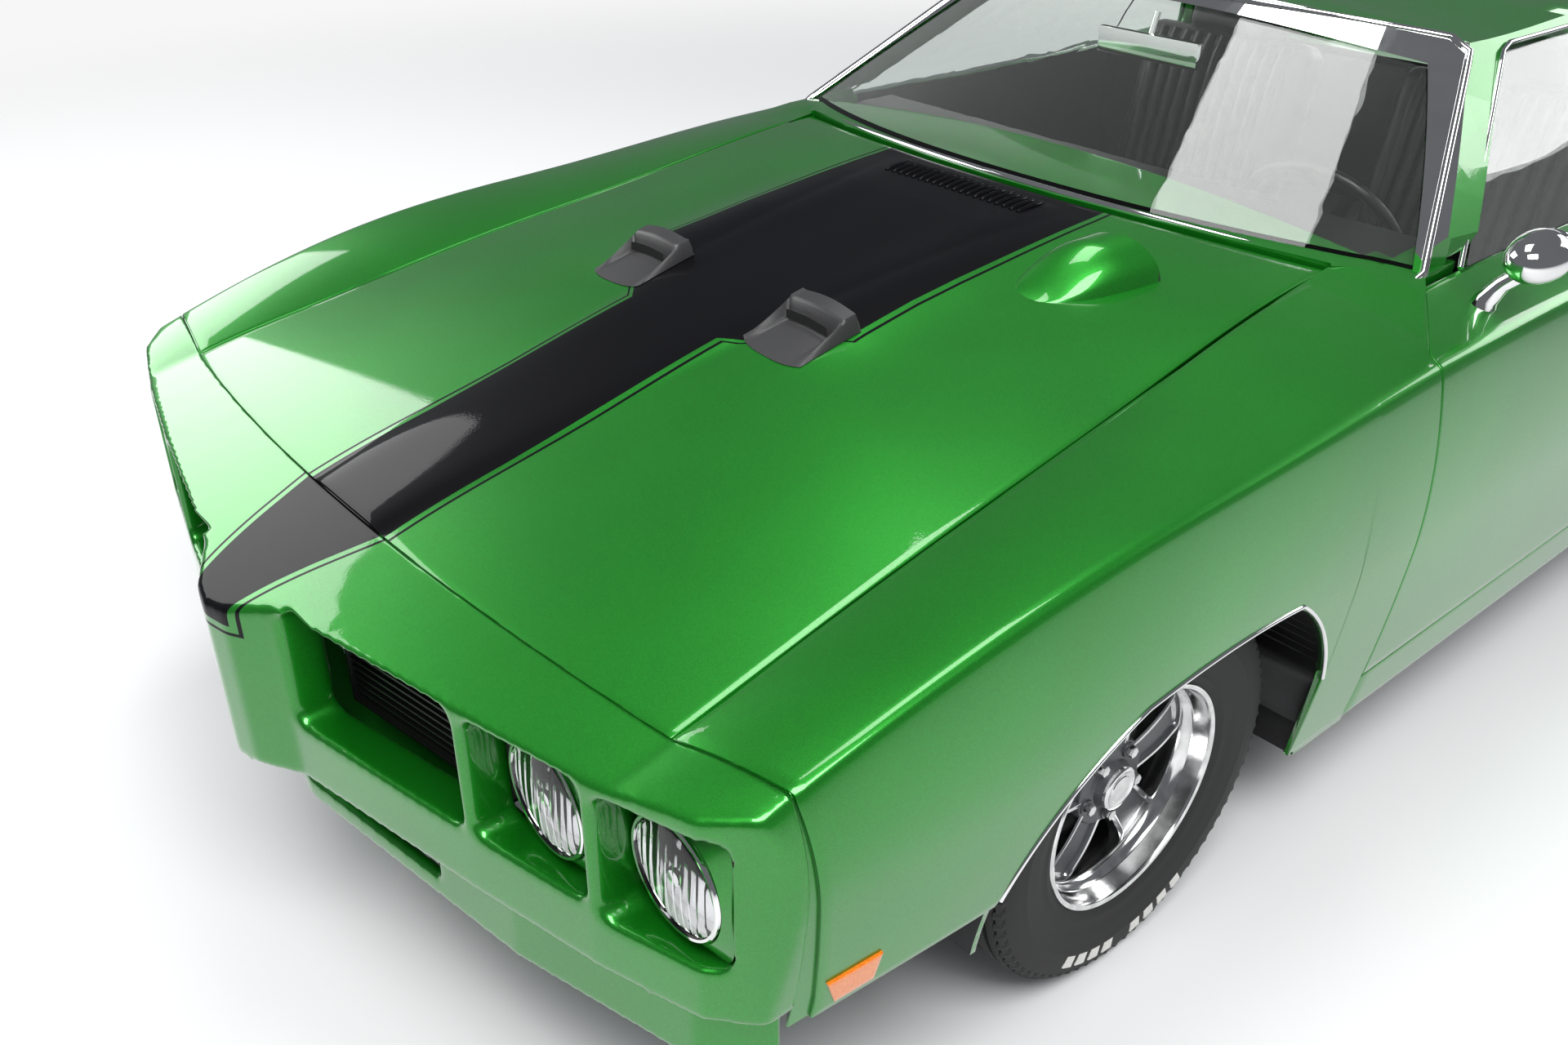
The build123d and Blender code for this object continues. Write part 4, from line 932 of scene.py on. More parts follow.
def makeRim(end, side, x, y):
    sign = 1 if x > 0 else -1
    body = f"wheel_{end}_{side}"
    centre = (x, y, wheelZ)
    p = Parts()
    # polished outer lip and deep barrel, then the back half
    front = [(0.0945, 0.1975), (0.0975, 0.2015), (0.1000, 0.2027), (0.1024, 0.2010), (0.1028, 0.1975),
             (0.1010, 0.1935), (0.0960, 0.1915), (0.0700, 0.1895), (0.0640, 0.1870), (0.0600, 0.1825),
             (0.0560, 0.1790), (0.0450, 0.1770), (0.0100, 0.1760), (-0.0400, 0.1755), (-0.0960, 0.1830),
             (-0.1010, 0.1905), (-0.1028, 0.1960), (-0.1010, 0.2020), (-0.0975, 0.2020), (-0.0930, 0.1925),
             (-0.0400, 0.1900), (0.0, 0.1800), (0.0600, 0.1900)]
    p.lathe(front, centre, steps=112, mat=0, closed=True, side=sign)
    # centre boss with a round cap
    boss = [(0.0230, 0.0), (0.0230, 0.078), (0.0440, 0.0780), (0.0490, 0.0755), (0.0505, 0.0700),
            (0.0500, 0.0480), (0.0520, 0.0440), (0.0600, 0.0405), (0.0660, 0.0385)]
    p.lathe(boss, centre, steps=72, mat=1, side=sign)
    cap = [(0.0655, 0.0392), (0.0700, 0.0385), (0.0722, 0.0360), (0.0727, 0.0325), (0.0712, 0.0300),
           (0.0708, 0.0240), (0.0722, 0.0225), (0.0729, 0.0120), (0.0730, 0.0)]
    p.lathe(cap, centre, steps=72, mat=0, side=sign)
    inner, outer, spokes = rimSizes["spokeInner"], rimSizes["spokeOuter"], rimSizes["spokes"]
    count = 14
    for k in range(spokes):
        angle = math.radians(90 + 360 / spokes * k)
        ca, sa = math.cos(angle), math.sin(angle)
        rows = []
        for i in range(count + 1):
            u = i / count
            r = inner + (outer - inner) * u
            half = 0.0330 + 0.0105 * u + 0.004 * max(0, (u - 0.8) / 0.2) ** 2
            face = 0.0500 + 0.0030 * math.sin(u * math.pi) - 0.004 * u ** 3
            deep = face - 0.026
            rim = half - 0.0075
            section = [(-half, deep), (-half, face - 0.003), (-half + 0.0022, face - 0.0004), (-rim, face),
                       (-rim + 0.0016, face - 0.0008), (-rim + 0.0050, face - 0.0068),
                       (rim - 0.0050, face - 0.0068), (rim - 0.0016, face - 0.0008), (rim, face),
                       (half - 0.0022, face - 0.0004), (half, face - 0.003), (half, deep)]
            rows.append([(centre[0] + sign * h, centre[1] + r * ca - w * sa, centre[2] + r * sa + w * ca)
                         for w, h in section])
        grid = np.array(rows)
        start = len(p.faces)
        p.grid(grid, 0, closeV=True)
        m = grid.shape[1]
        for f in range(start, len(p.faces)):
            column = (f - start) % m
            row = (f - start) // m
            if column in (4, 5, 6) and 0 < row < count - 1:
                p.mats[f] = 1
    for k in range(spokes):
        a = math.radians(90 + 180 / spokes + 360 / spokes * k)
        cy = centre[1] + rimSizes["nutRing"] * math.cos(a)
        cz = centre[2] + rimSizes["nutRing"] * math.sin(a)
        for r0, r1, h0, h1, steps, mat in ((0.0135, 0.0125, 0.0440, 0.0530, 24, 1),
                                           (0.0100, 0.0092, 0.0500, 0.0640, 6, 0)):
            p.lathe([(h0, r0), (h1 - 0.0015, r0), (h1, r1), (h1, 0.0)], (centre[0], cy, cz), steps=steps,
                    mat=mat, side=sign)
    # brake face behind the spokes
    brake = [(0.0060, 0.0), (0.0060, 0.135), (0.0020, 0.137), (-0.004, 0.137)]
    p.lathe(brake, centre, steps=64, mat=2, side=sign)
    node = f"rim_{end}_{side}"
    p.build(f"wheel{end.title()}{side.title()}", [polished, spokeGrey, steelMat], body, replaces=[node],
            slot="wheel_metal", sharp=38)


for wheel in wheels:
    makeTyre(*wheel)
    makeRim(*wheel)
print("stage: wheels")

# lamps and grille

lampSizes = {"radius": 0.0815, "ribs": 11, "square": 7.0}
lampOpenings = [("inner", 0.492, 0.688, 0.545, 0.738, -2.367), ("outer", 0.704, 0.880, 0.530, 0.730, -2.320)]
for side, sign in (("left", 1), ("right", -1)):
    bezel = Parts()
    lens = Parts()
    for label, x0, x1, z0, z1, y in lampOpenings:
        cx, cz = sign * (x0 + x1) / 2, (z0 + z1) / 2
        r = lampSizes["radius"]
        # square dished plate around the round lamp
        steps = 96
        rows = []
        hx, hz = (x1 - x0) / 2 - 0.0006, (z1 - z0) / 2 - 0.0006
        for blend, dy in ((0.0, -0.004), (0.03, -0.010), (0.10, -0.012), (1.0, 0.004)):
            ring = []
            for k in range(steps):
                a = 2 * math.pi * k / steps
                ca, sa = math.cos(a), math.sin(a)
                power = lampSizes["square"]
                reach = (abs(ca / hx) ** power + abs(sa / hz) ** power) ** (-1 / power)
                rr = (r + 0.003) + (reach - r - 0.003) * blend
                ring.append((cx + rr * ca, y + dy, cz + rr * sa))
            rows.append(ring)
        bezel.grid(np.array(rows), 0, closeV=True)
        ring = [(-0.004, r + 0.0030), (-0.0165, r + 0.0026), (-0.0185, r + 0.0006), (-0.0180, r - 0.0030),
                (-0.0120, r - 0.0040)]
        bezel.lathe(ring, (cx, y, cz), axis="y", steps=72, mat=1)
        # bowl with facets behind the lens
        bowl = [(0.004 + 0.016 * (1 - q ** 2), (r - 0.004) * q + 0.001) for q in np.linspace(0, 1, 15)]
        bezel.lathe(bowl, (cx, y, cz), axis="y", steps=40, mat=1)
        for q in [-0.9 + 0.18 * i for i in range(lampSizes["ribs"])]:
            x, w = cx + q * (r - 0.006), math.sqrt(max(0.0, 1 - q * q)) * (r - 0.006)
            bezel.box((x - 0.0012, y - 0.006, cz - w), (x + 0.0012, y + 0.016, cz + w), 1, bevel=0)
        bezel.lathe([(-0.006, 0.0), (-0.0055, 0.010), (0.004, 0.013)], (cx, y, cz), axis="y", steps=24, mat=1)
        glassProfile = [(-0.0135, r - 0.0035)]
        glassProfile += [(-0.0150 - 0.011 * (1 - q * q), (r - 0.0045) * q) for q in np.linspace(1, 0, 9)]
        lens.lathe(glassProfile, (cx, y, cz), axis="y", steps=64)
    bezel.build("lampBezel" + side.title(), [paint, chrome], "body", replaces=["headlamps_" + side],
                slot="lamp_glass", sharp=35)
    lens.build("lampLens" + side.title(), lampGlass, "body", slot="lamp_glass")

grilleSizes = {"x": (0.1275, 0.4745), "z": (0.547, 0.740), "bars": 14, "pitch": 0.0135, "posts": 6,
               "frame": 0.006, "back": 0.030, "sweep": 0.16}
grille = Parts()
(xLow, xHigh), (zLow, zHigh), frameWide = grilleSizes["x"], grilleSizes["z"], grilleSizes["frame"]
for sign in (1, -1):
    x0, x1 = sorted((sign * xLow, sign * xHigh))
    grille.box((x0, -2.436, zLow), (x1, -2.430, zHigh), 0, bevel=0.001)
    for i in range(grilleSizes["bars"]):
        z = zLow + 0.009 + i * grilleSizes["pitch"]
        grille.box((x0 + 0.006, -2.458, z - 0.0022), (x1 - 0.006, -2.434, z + 0.0022), 0, bevel=0.0008)
    for x in np.linspace(x0 + 0.012, x1 - 0.012, grilleSizes["posts"]):
        grille.box((x - 0.0018, -2.452, zLow + 0.002), (x + 0.0018, -2.434, zHigh - 0.002), 0, bevel=0.0006)
    for a, b in (((x0, zLow), (x1, zLow + frameWide)), ((x0, zHigh - frameWide), (x1, zHigh)),
                 ((x0, zLow), (x0 + frameWide, zHigh)), ((x1 - frameWide, zLow), (x1, zHigh))):
        grille.box((a[0], -2.4605, a[1]), (b[0], -2.432, b[1]), 0, bevel=0.001)
# set back into the openings, more so at the outer ends
grille.verts = [(x, y + grilleSizes["back"] + grilleSizes["sweep"] * (abs(x) - xLow), z)
                for x, y, z in grille.verts]
grille.build("grilleMesh", blackSatin, "body", replaces=["grille"], slot="black_trim", sharp=35)
print("stage: lamps")

# repaint what stays from the CAD


def bodyTree():
    # The outer body surface as a search tree.
    ys = np.linspace(-2.60, 2.60, 261)
    ts = np.linspace(-4, 4, 161)
    pts = bodyAt(ys[:, None], ts[None, :])
    n, m = pts.shape[:2]
    faces = [(i * m + j, (i + 1) * m + j, (i + 1) * m + j + 1, i * m + j + 1)
             for i in range(n - 1) for j in range(m - 1)]
    return BVHTree.FromPolygons([tuple(v) for v in pts.reshape(-1, 3)], faces)


def smoothCopy(name, node, mat, angle):
    obj = looseCopy(name, node, mat)
    obj.data.shade_smooth()
    obj.data.set_sharp_from_angle(angle=math.radians(angle))
    return attach(obj, "body", [node])


# copies of the CAD panels lie a little inside the smooth skins and close what is seen behind them
skinTree = bodyTree()
innerCopy = {"near": 0.009, "inward": 0.006, "axisHeight": 0.60}
for node in ("fender_left", "fender_right", "quarter_left", "quarter_right", "deck_panel", "tail_panel"):
    under = smoothCopy(node.replace("_", "") + "Inner", node, chassisBlack, 32)
    under.data.materials.append(paint)
    outer = set()
    for v in under.data.vertices:
        if skinTree.find_nearest(v.co)[3] < innerCopy["near"]:
            outer.add(v.index)
            inward = Vector((0, v.co.y, innerCopy["axisHeight"])) - v.co
            v.co = v.co + inward.normalized() * innerCopy["inward"]
    for face in under.data.polygons:
        seen = all(i in outer for i in face.vertices) or face.center.y > 2.476
        seen = seen or (face.center.z > 0.86 and face.normal.z > 0.2)
        face.material_index = 1 if seen else 0


def onBody(y, t, lift=0.0):
    # Points of the body surface moved outwards by lift.
    y, t = np.broadcast_arrays(np.asarray(y, float), np.asarray(t, float))
    here = bodyAt(y, t)
    du = bodyAt(y + 0.004, t) - bodyAt(y - 0.004, t)
    dv = bodyAt(y, t + 0.01) - bodyAt(y, t - 0.01)
    normal = np.cross(dv, du)
    normal /= np.linalg.norm(normal, axis=-1, keepdims=True)
    flip = np.where(np.sum(normal * (here - np.array([0, 0, 0.5])) * [1, 0, 1], axis=-1) < 0, -1, 1)
    return here + normal * flip[..., None] * lift


def hoodZ(x, y):
    top = bodyAt(y, tAtX(y, np.abs(x)))[..., 2]
    return top + hoodRise(np.asarray(x, float), np.asarray(y, float))


# y, crown z, rail x, rail z, belt x, belt z, in millimetres
roofRows = np.array([(-1112, 1290, 530, 1256, 800, 952), (-372, 1314, 575, 1276, 808, 946),
                     (128, 1325, 588, 1284, 812, 944), (600, 1300, 592, 1254, 814, 944),
                     (950, 1205, 596, 1164, 808, 944), (1300, 1080, 600, 1046, 800, 942),
                     (1580, 968, 590, 940, 780, 900)]) / 1000.0


sideCrown = 0.009


def roofSideX(y, z):
    # Half width of the roof's side at a height.
    _, railX, railZ, beltX, beltZ = spline(roofRows[:, 0], roofRows[:, 1:], y)
    u = min(1.0, max(0.0, (railZ - z) / (railZ - beltZ)))
    return float(arcAt(railX, railZ, beltX, beltZ, sideCrown, u)[0])


def roofTopZ(x, y):
    crown, railX, railZ = spline(roofRows[:, 0], roofRows[:, 1:], y)[:3]
    return float(crown - (crown - railZ) * (x / railX) ** 2)


def ruled(z, x, rows):
    # y of a screen's outer face at x and z between the two levels of its table.
    (z0, m0, c0, k0), (z1, m1, c1, k1) = rows
    w = (z - z0) / (z1 - z0)
    mid, cx, cy = m0 + (m1 - m0) * w, c0 + (c1 - c0) * w, k0 + (k1 - k0) * w
    return mid + (cy - mid) * (x / cx) ** 2


# at a low and a high level: z, y in the middle, x and y of the corner
screenRows = ((0.88, -1.185, 0.853, -0.891), (1.40, -0.332, 0.490, -0.148))
rearRows = ((0.86, 1.583, 0.634, 1.523), (1.40, 0.355, 0.500, 0.305))


def screenEdge(rows, wide, headHalf, low, high):
    # A screen's outline: its base, a side, its top and their mirror images, each found step by step.
    def baseZ(x, y):
        return float(bodyAt(y, tAtX(y, x)[0])[2])

    def settle(x, z, nextX=None, nextZ=None):
        for _ in range(12):
            y = ruled(z, x, rows)
            x, z = nextX(y, z) if nextX else x, nextZ(x, y) if nextZ else z
        return x, y, z

    def sideX(y, z):
        x = roofSideX(y, z)
        return min(x, wide - (z - low) * 0.248) if rows is rearRows else x
    points = [settle(x, 1.0, nextZ=baseZ) for x in np.linspace(0, wide, 22)]
    points += [settle(0.7, z, nextX=sideX) for z in np.linspace(low, high, 16)]
    points += [settle(x, 1.29, nextZ=roofTopZ) for x in np.linspace(headHalf, 0, 14)]
    return points + [(-x, y, z) for x, y, z in reversed(points[1:-1])]


def roofNormals(points):
    # Outward normals of the roof's outer surface, and how far each point lies from it
    fine = np.linspace(-1.12, 1.62, 2741)
    table = spline(roofRows[:, 0], roofRows[:, 1:], fine)

    def offset(q):
        crown, railX, railZ, beltX, beltZ = [np.interp(q[:, 1], fine, table[:, i]) for i in range(5)]
        u = np.clip((railZ - q[:, 2]) / (railZ - beltZ), 0, 1)
        sideX = arcAt(railX, railZ, beltX, beltZ, sideCrown, u)[0]
        rise = q[:, 2] - (crown - (crown - railZ) * (q[:, 0] / railX) ** 2)
        return np.where(q[:, 2] < railZ, np.abs(q[:, 0]) - sideX, rise)
    steps = np.eye(3) * 0.0015
    slope = np.stack([offset(points + d) - offset(points - d) for d in steps], axis=-1)
    return slope / np.linalg.norm(slope, axis=-1, keepdims=True), offset(points)


# the roof keeps the CAD form, shaded by the exact surface, with bright faces around the windscreen
roof = smoothCopy("roofSkin", "roof", paint, 24)
roof.data.materials.append(chrome)
corners = np.array([roof.data.vertices[loop.vertex_index].co[:] for loop in roof.data.loops])
middles = np.array([face.center[:] for face in roof.data.polygons])
surface, _ = roofNormals(corners)
_, away = roofNormals(middles)
normals = np.zeros((len(corners), 3))
screenNormal = np.array((0, -0.52, 0.854))
near = {"screen": 0.012, "roof": 0.004, "lowest": 1.0}
for face in roof.data.polygons:
    own = np.array(face.normal)
    facesForward = middles[face.index][2] > near["lowest"] and np.dot(own, screenNormal) > 0.7
    aroundScreen = facesForward and all(
        abs(y - ruled(z, x, screenRows)) < near["screen"] for x, y, z in corners[list(face.loop_indices)])
    outside = abs(away[face.index]) < near["roof"] and np.dot(own, surface[face.loop_start]) > 0.8
    for k in face.loop_indices:
        normals[k] = surface[k] if outside and not aroundScreen else own
    if aroundScreen:
        face.material_index = 1
roof.data.normals_split_custom_set([tuple(v) for v in normals])

footBox = {"x": (0.738, 0.776), "y": (-0.735, -0.622), "z": (0.900, 0.980), "bevel": 0.004}
foot = Parts()
for sign in (1, -1):
    low, high = zip(sorted(sign * x for x in footBox["x"]), footBox["y"], footBox["z"])
    foot.box(low, high, 0, bevel=footBox["bevel"])
foot.build("pillarFeet", paint, "body", slot="paint", sharp=50)

trimSizes = {"screen": 0.0075, "side": 0.0055, "arch": 0.0038, "belt": 0.0050, "handle": 0.006}
trim = Parts()
for edge in ((screenRows, 0.775, 0.545, 0.985, 1.262), (rearRows, 0.600, 0.535, 0.972, 1.225)):
    trim.tube(screenEdge(*edge), trimSizes["screen"], 0, steps=10, closed=True)
sideLine = [(-0.632, 0.972), (-0.440, 1.108), (-0.240, 1.252), (-0.205, 1.262), (0.0, 1.264), (0.30, 1.264),
            (0.470, 1.262), (0.495, 1.250), (0.620, 1.110), (0.765, 0.948)]
for sign in (1, -1):
    points = []
    for (y0, z0), (y1, z1) in zip(sideLine, sideLine[1:]):
        for k in range(6):
            y, z = y0 + (y1 - y0) * k / 6, z0 + (z1 - z0) * k / 6
            points.append((sign * (roofSideX(y, z) + 0.001), y, z))
    trim.tube(points, trimSizes["side"], 0, steps=8)
    for axle, top, forward, back, ahead, behind in arches.values():
        behind = 0.2325 if axle == frontAxle else behind
        ys = np.concatenate([axle - forward + 0.001 + 0.10 * np.linspace(0, 1, 40) ** 2,
                             np.linspace(axle - forward + 0.11, axle + back - 0.11, 50),
                             axle + back - 0.001 - 0.10 * np.linspace(1, 0, 40) ** 2])
        zs = archTop(ys, axle, top, forward, back)
        keep = zs > np.where(ys < axle, ahead, behind) + 0.002
        edge = onBody(ys[keep], tAtZ(ys[keep], zs[keep] + 0.004), 0.0)
        trim.tube(edge * np.array([sign, 1, 1]), trimSizes["arch"], 0, steps=8)
trim.build("chromeTrim", chrome, "body", slot="chrome", sharp=50)

# y of the upper and lower edges' ends, the heights of both edges and the lens colour
markerCorners = ((-2.204, -2.120, -2.188, -2.127, 0.465, 0.421, 0),
                 (2.255, 2.345, 2.262, 2.338, 0.520, 0.484, 1))
for side, sign in (("left", 1), ("right", -1)):
    trim = Parts()
    ys = np.linspace(-0.62, doorRear - 0.012, 30)
    belt = [(sign * (roofSideX(y, 0.950) + 0.010), y, 0.9535) for y in ys]
    trim.tube(belt, trimSizes["belt"], 0, steps=8)
    t = float(tAtZ(0.26, 0.842)[0])
    mid = onBody(0.26, t, 0.0)
    handle = [onBody(y, t, lift) * np.array([sign, 1, 1]) for y, lift in (
        (0.185, -0.002), (0.190, 0.008), (0.205, 0.013), (0.26, 0.015), (0.315, 0.013), (0.330, 0.008),
        (0.335, -0.002))]
    trim.tube(handle, trimSizes["handle"], 0, steps=12)
    trim.lathe([(0.0, 0.0), (0.0, 0.012), (0.003, 0.0115), (0.004, 0.008), (0.004, 0.0)],
               (sign * (float(mid[0]) - 0.001), 0.365, 0.842), steps=24, side=sign)
    trim.build("doorTrim" + side.title(), chrome, side + "_door", slot="chrome", sharp=50)
    marker = Parts()
    for y0, y1, y2, y3, z0, z1, mat in markerCorners:
        rows = []
        for w in np.linspace(0, 1, 8):
            ys = np.linspace(y0 + (y2 - y0) * w, y1 + (y3 - y1) * w, 14)
            rows.append(onBody(ys, tAtZ(ys, z0 + (z1 - z0) * w), 0.0045))
        addShell(marker, np.array(rows) * np.array([sign, 1, 1]), 0.007, mat=mat)
    marker.build("sideMarkers" + side.title(), [amberLens, redLens], "body", slot="red_lens", sharp=50)

# louvres, scoops and pod on the hood
louvres = {"count": 20, "first": -0.171, "pitch": 0.018, "radius": 0.0048, "front": -1.078, "rear": -1.010}
scoops = {"front": -1.716, "long": 0.141, "x": 0.214, "half": 0.070, "high": 0.030, "mouthY": -1.6305,
          "mouthX": 0.217, "mouthHalf": 0.049}
podSizes = {"front": -1.300, "long": 0.185, "x": 0.385, "half": 0.080, "high": 0.060}
top = Parts()
for i in range(louvres["count"]):
    xs = np.full(9, louvres["first"] + louvres["pitch"] * i)
    ys = np.linspace(louvres["front"], louvres["rear"], 9)
    lift = np.array([-0.002, 0.0005, 0.0012, 0.0016, 0.0018, 0.0016, 0.0012, 0.0005, -0.002])
    top.tube(np.stack([xs, ys, hoodZ(xs, ys) + lift], axis=-1), louvres["radius"], 0, steps=8)
for sign in (1, -1):
    us, vs = np.linspace(0, 1, 34), np.linspace(-1, 1, 41)
    grid = np.zeros((34, 41, 3))
    for i, u in enumerate(us):
        ys = scoops["front"] + scoops["long"] * u + 0.030 * np.abs(vs) ** 3 * (1 - u) * 0.5
        xs = scoops["x"] + 0.004 * u + scoops["half"] * vs
        wall = np.clip(u * 1.25, 0, 1) ** 1.3 * np.clip((np.abs(vs) - 0.74) / 0.16, 0, 1)
        lip = np.clip((u - 0.64) / 0.10, 0, 1)
        fall = np.clip((1 - np.abs(vs)) / 0.07, 0, 1) * np.clip((1 - u) / 0.06, 0, 1)
        rise = scoops["high"] * np.maximum(wall, lip) * fall ** 0.6
        grid[i] = np.stack([sign * xs, ys, hoodZ(xs, ys) + rise + 0.0012], axis=-1)
    top.grid(grid, 1)
    # a dark matte sheet across each scoop's opening is painted shade: it stands for the shadowed hollow
    # inside the scoop
    xs = scoops["mouthX"] + scoops["mouthHalf"] * np.linspace(-1, 1, 15)
    ys = np.full(15, scoops["mouthY"])
    mouthShadeSheet = [np.stack([sign * xs, ys, hoodZ(xs, ys) + h], axis=-1) for h in (0.0065, 0.0145, 0.022)]
    top.grid(np.array(mouthShadeSheet), 2)
us, vs = np.linspace(0, 1, 30), np.linspace(-1, 1, 33)
pod = np.zeros((30, 33, 3))
for i, u in enumerate(us):
    wide = podSizes["half"] * math.sqrt(max(0.0, 1 - (1 - min(u, 0.98) / 0.98) ** 2)) ** 0.9
    high = podSizes["high"] * math.sin(min(1.0, u / 0.75) * math.pi / 2) ** 1.4
    xs = podSizes["x"] + 0.040 * u + wide * vs
    ys = np.full(33, podSizes["front"] + podSizes["long"] * u) + 0.020 * vs * u
    rise = high * np.clip(1 - vs ** 2, 0, 1) ** 0.55
    pod[i] = np.stack([xs, ys, hoodZ(xs, ys) - 0.001 + rise], axis=-1)
top.grid(pod, 3)
low = pod[-1] + np.array([0, -0.004, 0])
low[:, 2] = hoodZ(pod[-1][:, 0], pod[-1][:, 1]) - 0.002
top.grid(np.array([pod[-1], low]), 2)
top.build("hoodDetails", [stripedPaint, scoopGrey, blackMatte, paint], "hood_lid",
          replaces=["hood_scoop_left", "hood_scoop_right"], slot="paint", sharp=45)

# the chrome mirror on the left door
mirrorSizes = {"centre": (0.937, -0.692, 1.050), "wide": 0.047, "high": 0.043, "nose": 0.082, "back": 0.036}
mirror = Parts()
rows = []
for a in np.linspace(0, math.pi, 25):
    along = -math.cos(a) * (mirrorSizes["back"] if -math.cos(a) > 0 else mirrorSizes["nose"])
    full = math.sin(a) ** 0.8
    rows.append([np.array(mirrorSizes["centre"]) + (
        mirrorSizes["wide"] * full * math.cos(b), along, mirrorSizes["high"] * full * math.sin(b))
        for b in np.linspace(0, 2 * math.pi, 36, endpoint=False)])
mirror.grid(np.array(rows), 0, closeV=True)
mirror.tube([(0.868, -0.700, 0.935), (0.874, -0.700, 0.960), (0.892, -0.698, 0.990), (0.922, -0.694, 1.020)],
            [0.026, 0.019, 0.014, 0.014], 0, steps=18)
mirror.lathe([(0.0, 0.0), (0.0, 0.036), (0.0015, 0.036)], (0.937, -0.6555, 1.050), axis="y", steps=36, mat=1)
mirror.build("doorMirror", [chrome, mirrorGlass], "left_door", replaces=["door_mirror"], slot="chrome",
             sharp=50)

# the inner mirror and the seats' ribs
seatRibs = {"seats": (0.372, -0.372), "count": 11, "pitch": 0.037, "radius": 0.0150, "lean": 14}
inside = Parts()
inside.box((-0.125, -0.512, 1.168), (0.125, -0.494, 1.222), 0, bevel=0.007)
inside.tube([(0, -0.500, 1.215), (0, -0.485, 1.262)], 0.007, 0, steps=10)
lean = math.tan(math.radians(seatRibs["lean"]))
backLift = [0.020, 0.006] + [0.001] * 8 + [0.006, 0.020]
seatLift = [-0.015, -0.003] + [0.0] * 6 + [-0.003, -0.015]
for seat in seatRibs["seats"]:
    for k in range(seatRibs["count"]):
        x = seat + seatRibs["pitch"] * (k - 5)
        back = [(x, 0.196 + lean * (z - 0.50) + d, z) for z, d in zip(np.linspace(0.60, 1.045, 12), backLift)]
        cushion = [(x, y, 0.5585 + d) for y, d in zip(np.linspace(-0.20, 0.20, 10), seatLift)]
        for line in (back, cushion):
            inside.tube(line, seatRibs["radius"], 1, steps=8)
inside.build("cabinDetails", [chrome, vinyl], "body", slot="seat_vinyl", sharp=50)

# gauges in front of the steering wheel
# x, z and radius of each gauge
gauges = ((0.285, 0.872, 0.048), (0.420, 0.872, 0.048), (0.352, 0.905, 0.022), (0.352, 0.838, 0.022))
dials = Parts()
for x, z, r in gauges:
    y = -0.4735 if z < 0.88 else -0.4765
    bezel = [(-0.010, r + 0.004), (0.004, r + 0.004), (0.007, r + 0.002), (0.006, r), (-0.001, r - 0.002)]
    dials.lathe(bezel, (x, y, z), axis="y", steps=40, mat=0)
    dials.lathe([(-0.0005, 0.0), (-0.0005, r - 0.001)], (x, y, z), axis="y", steps=40, mat=1)
    for k in range(11):
        a = math.radians(-40 + 26 * k)
        tx, tz = x + math.cos(a) * r * 0.8, z + math.sin(a) * r * 0.8
        dials.box((tx - 0.0012, y - 0.0002, tz - 0.0012), (tx + 0.0012, y + 0.0006, tz + 0.0012), 2, bevel=0)
dials.build("dashDials", [chrome, blackMatte, whiteMark], "body", slot="black_trim", sharp=40)

# tail lamps with ribs, set into the bumper
tailSizes = {"x": (0.3605, 0.7995), "z": (0.4705, 0.5595), "face": 2.5655, "sweep": 0.0375, "rib": 0.0146}


def tailFace(x):
    return tailSizes["face"] - (x - 0.36) * tailSizes["sweep"]


for side, sign in (("left", 1), ("right", -1)):
    (xLow, xHigh), (zLow, zHigh) = tailSizes["x"], tailSizes["z"]
    lamp = Parts()
    xs = np.linspace(xLow + 0.001, xHigh - 0.001, 100)
    ripple = 0.0012 * np.abs(np.sin((xs - 0.36) * math.pi / tailSizes["rib"]))
    rows = [np.stack([sign * xs, tailFace(xs) + ripple - 0.004 * (abs(z - 0.515) / 0.0435) ** 6,
                      np.full(100, z)], axis=-1) for z in np.linspace(zLow + 0.001, zHigh - 0.001, 14)]
    addShell(lamp, np.array(rows), 0.010)
    lamp.build("tailLens" + side.title(), redLens, "body", replaces=["tail_lamp_" + side],
               slot="red_lens", sharp=50)
    rim = Parts()
    corners = [(xLow, zLow), (xHigh, zLow), (xHigh, zHigh), (xLow, zHigh)]
    loop = []
    for (x0, z0), (x1, z1) in zip(corners, corners[1:] + corners[:1]):
        for k in range(12):
            x, z = x0 + (x1 - x0) * k / 12, z0 + (z1 - z0) * k / 12
            loop.append((sign * x, tailFace(x) - 0.0005, z))
    rim.tube(loop, 0.0042, 0, steps=8, closed=True)
    rim.build("tailRim" + side.title(), blackSatin, "body", slot="red_lens", sharp=50)
print("stage: trim and details")

remeshed("bumperSkin", "rear_bumper", 0.0060, 5, chrome)
remeshed("valanceSkin", "front_valance", 0.0055, 5, paint)
print("stage: bumper and valance")

stay = {
    paint: ["cowl"],
    chassisBlack: ["frame", "floor_pan", "firewall", "radiator", "front_suspension", "knuckle_left",
                   "knuckle_right", "rear_axle", "fuel_tank"],
    ironMat: ["engine"],
    steelMat: ["exhaust"],
    blackSatin: ["dashboard", "console", "steering_wheel"],
    vinyl: ["bucket_seat_left", "bucket_seat_right", "rear_seat"],
    glass: ["windscreen", "rear_window", "door_glass_left", "door_glass_right", "quarter_glass_left",
            "quarter_glass_right"],
}
for mat, names in stay.items():
    for name in names:
        oneMaterial(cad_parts[name].data, mat)

# stage, light and camera


stageSizes = {"floorHalf": 40, "floorShade": 0.80, "fadeFrom": 3.2, "fadeTo": 8.0, "backdrop": 0.93,
              "diffuse": 0.40, "glossy": 0.16}
# place, width and power
lights = {"keyLight": ((3.2, -3.6, 6.0), 4.5, 420), "fillLight": ((-6.0, -3.0, 4.0), 5.0, 200),
          "rearLight": ((2.5, 6.5, 4.0), 4.0, 120), "topLight": ((-0.6, -0.4, 6.5), 3.2, 130)}


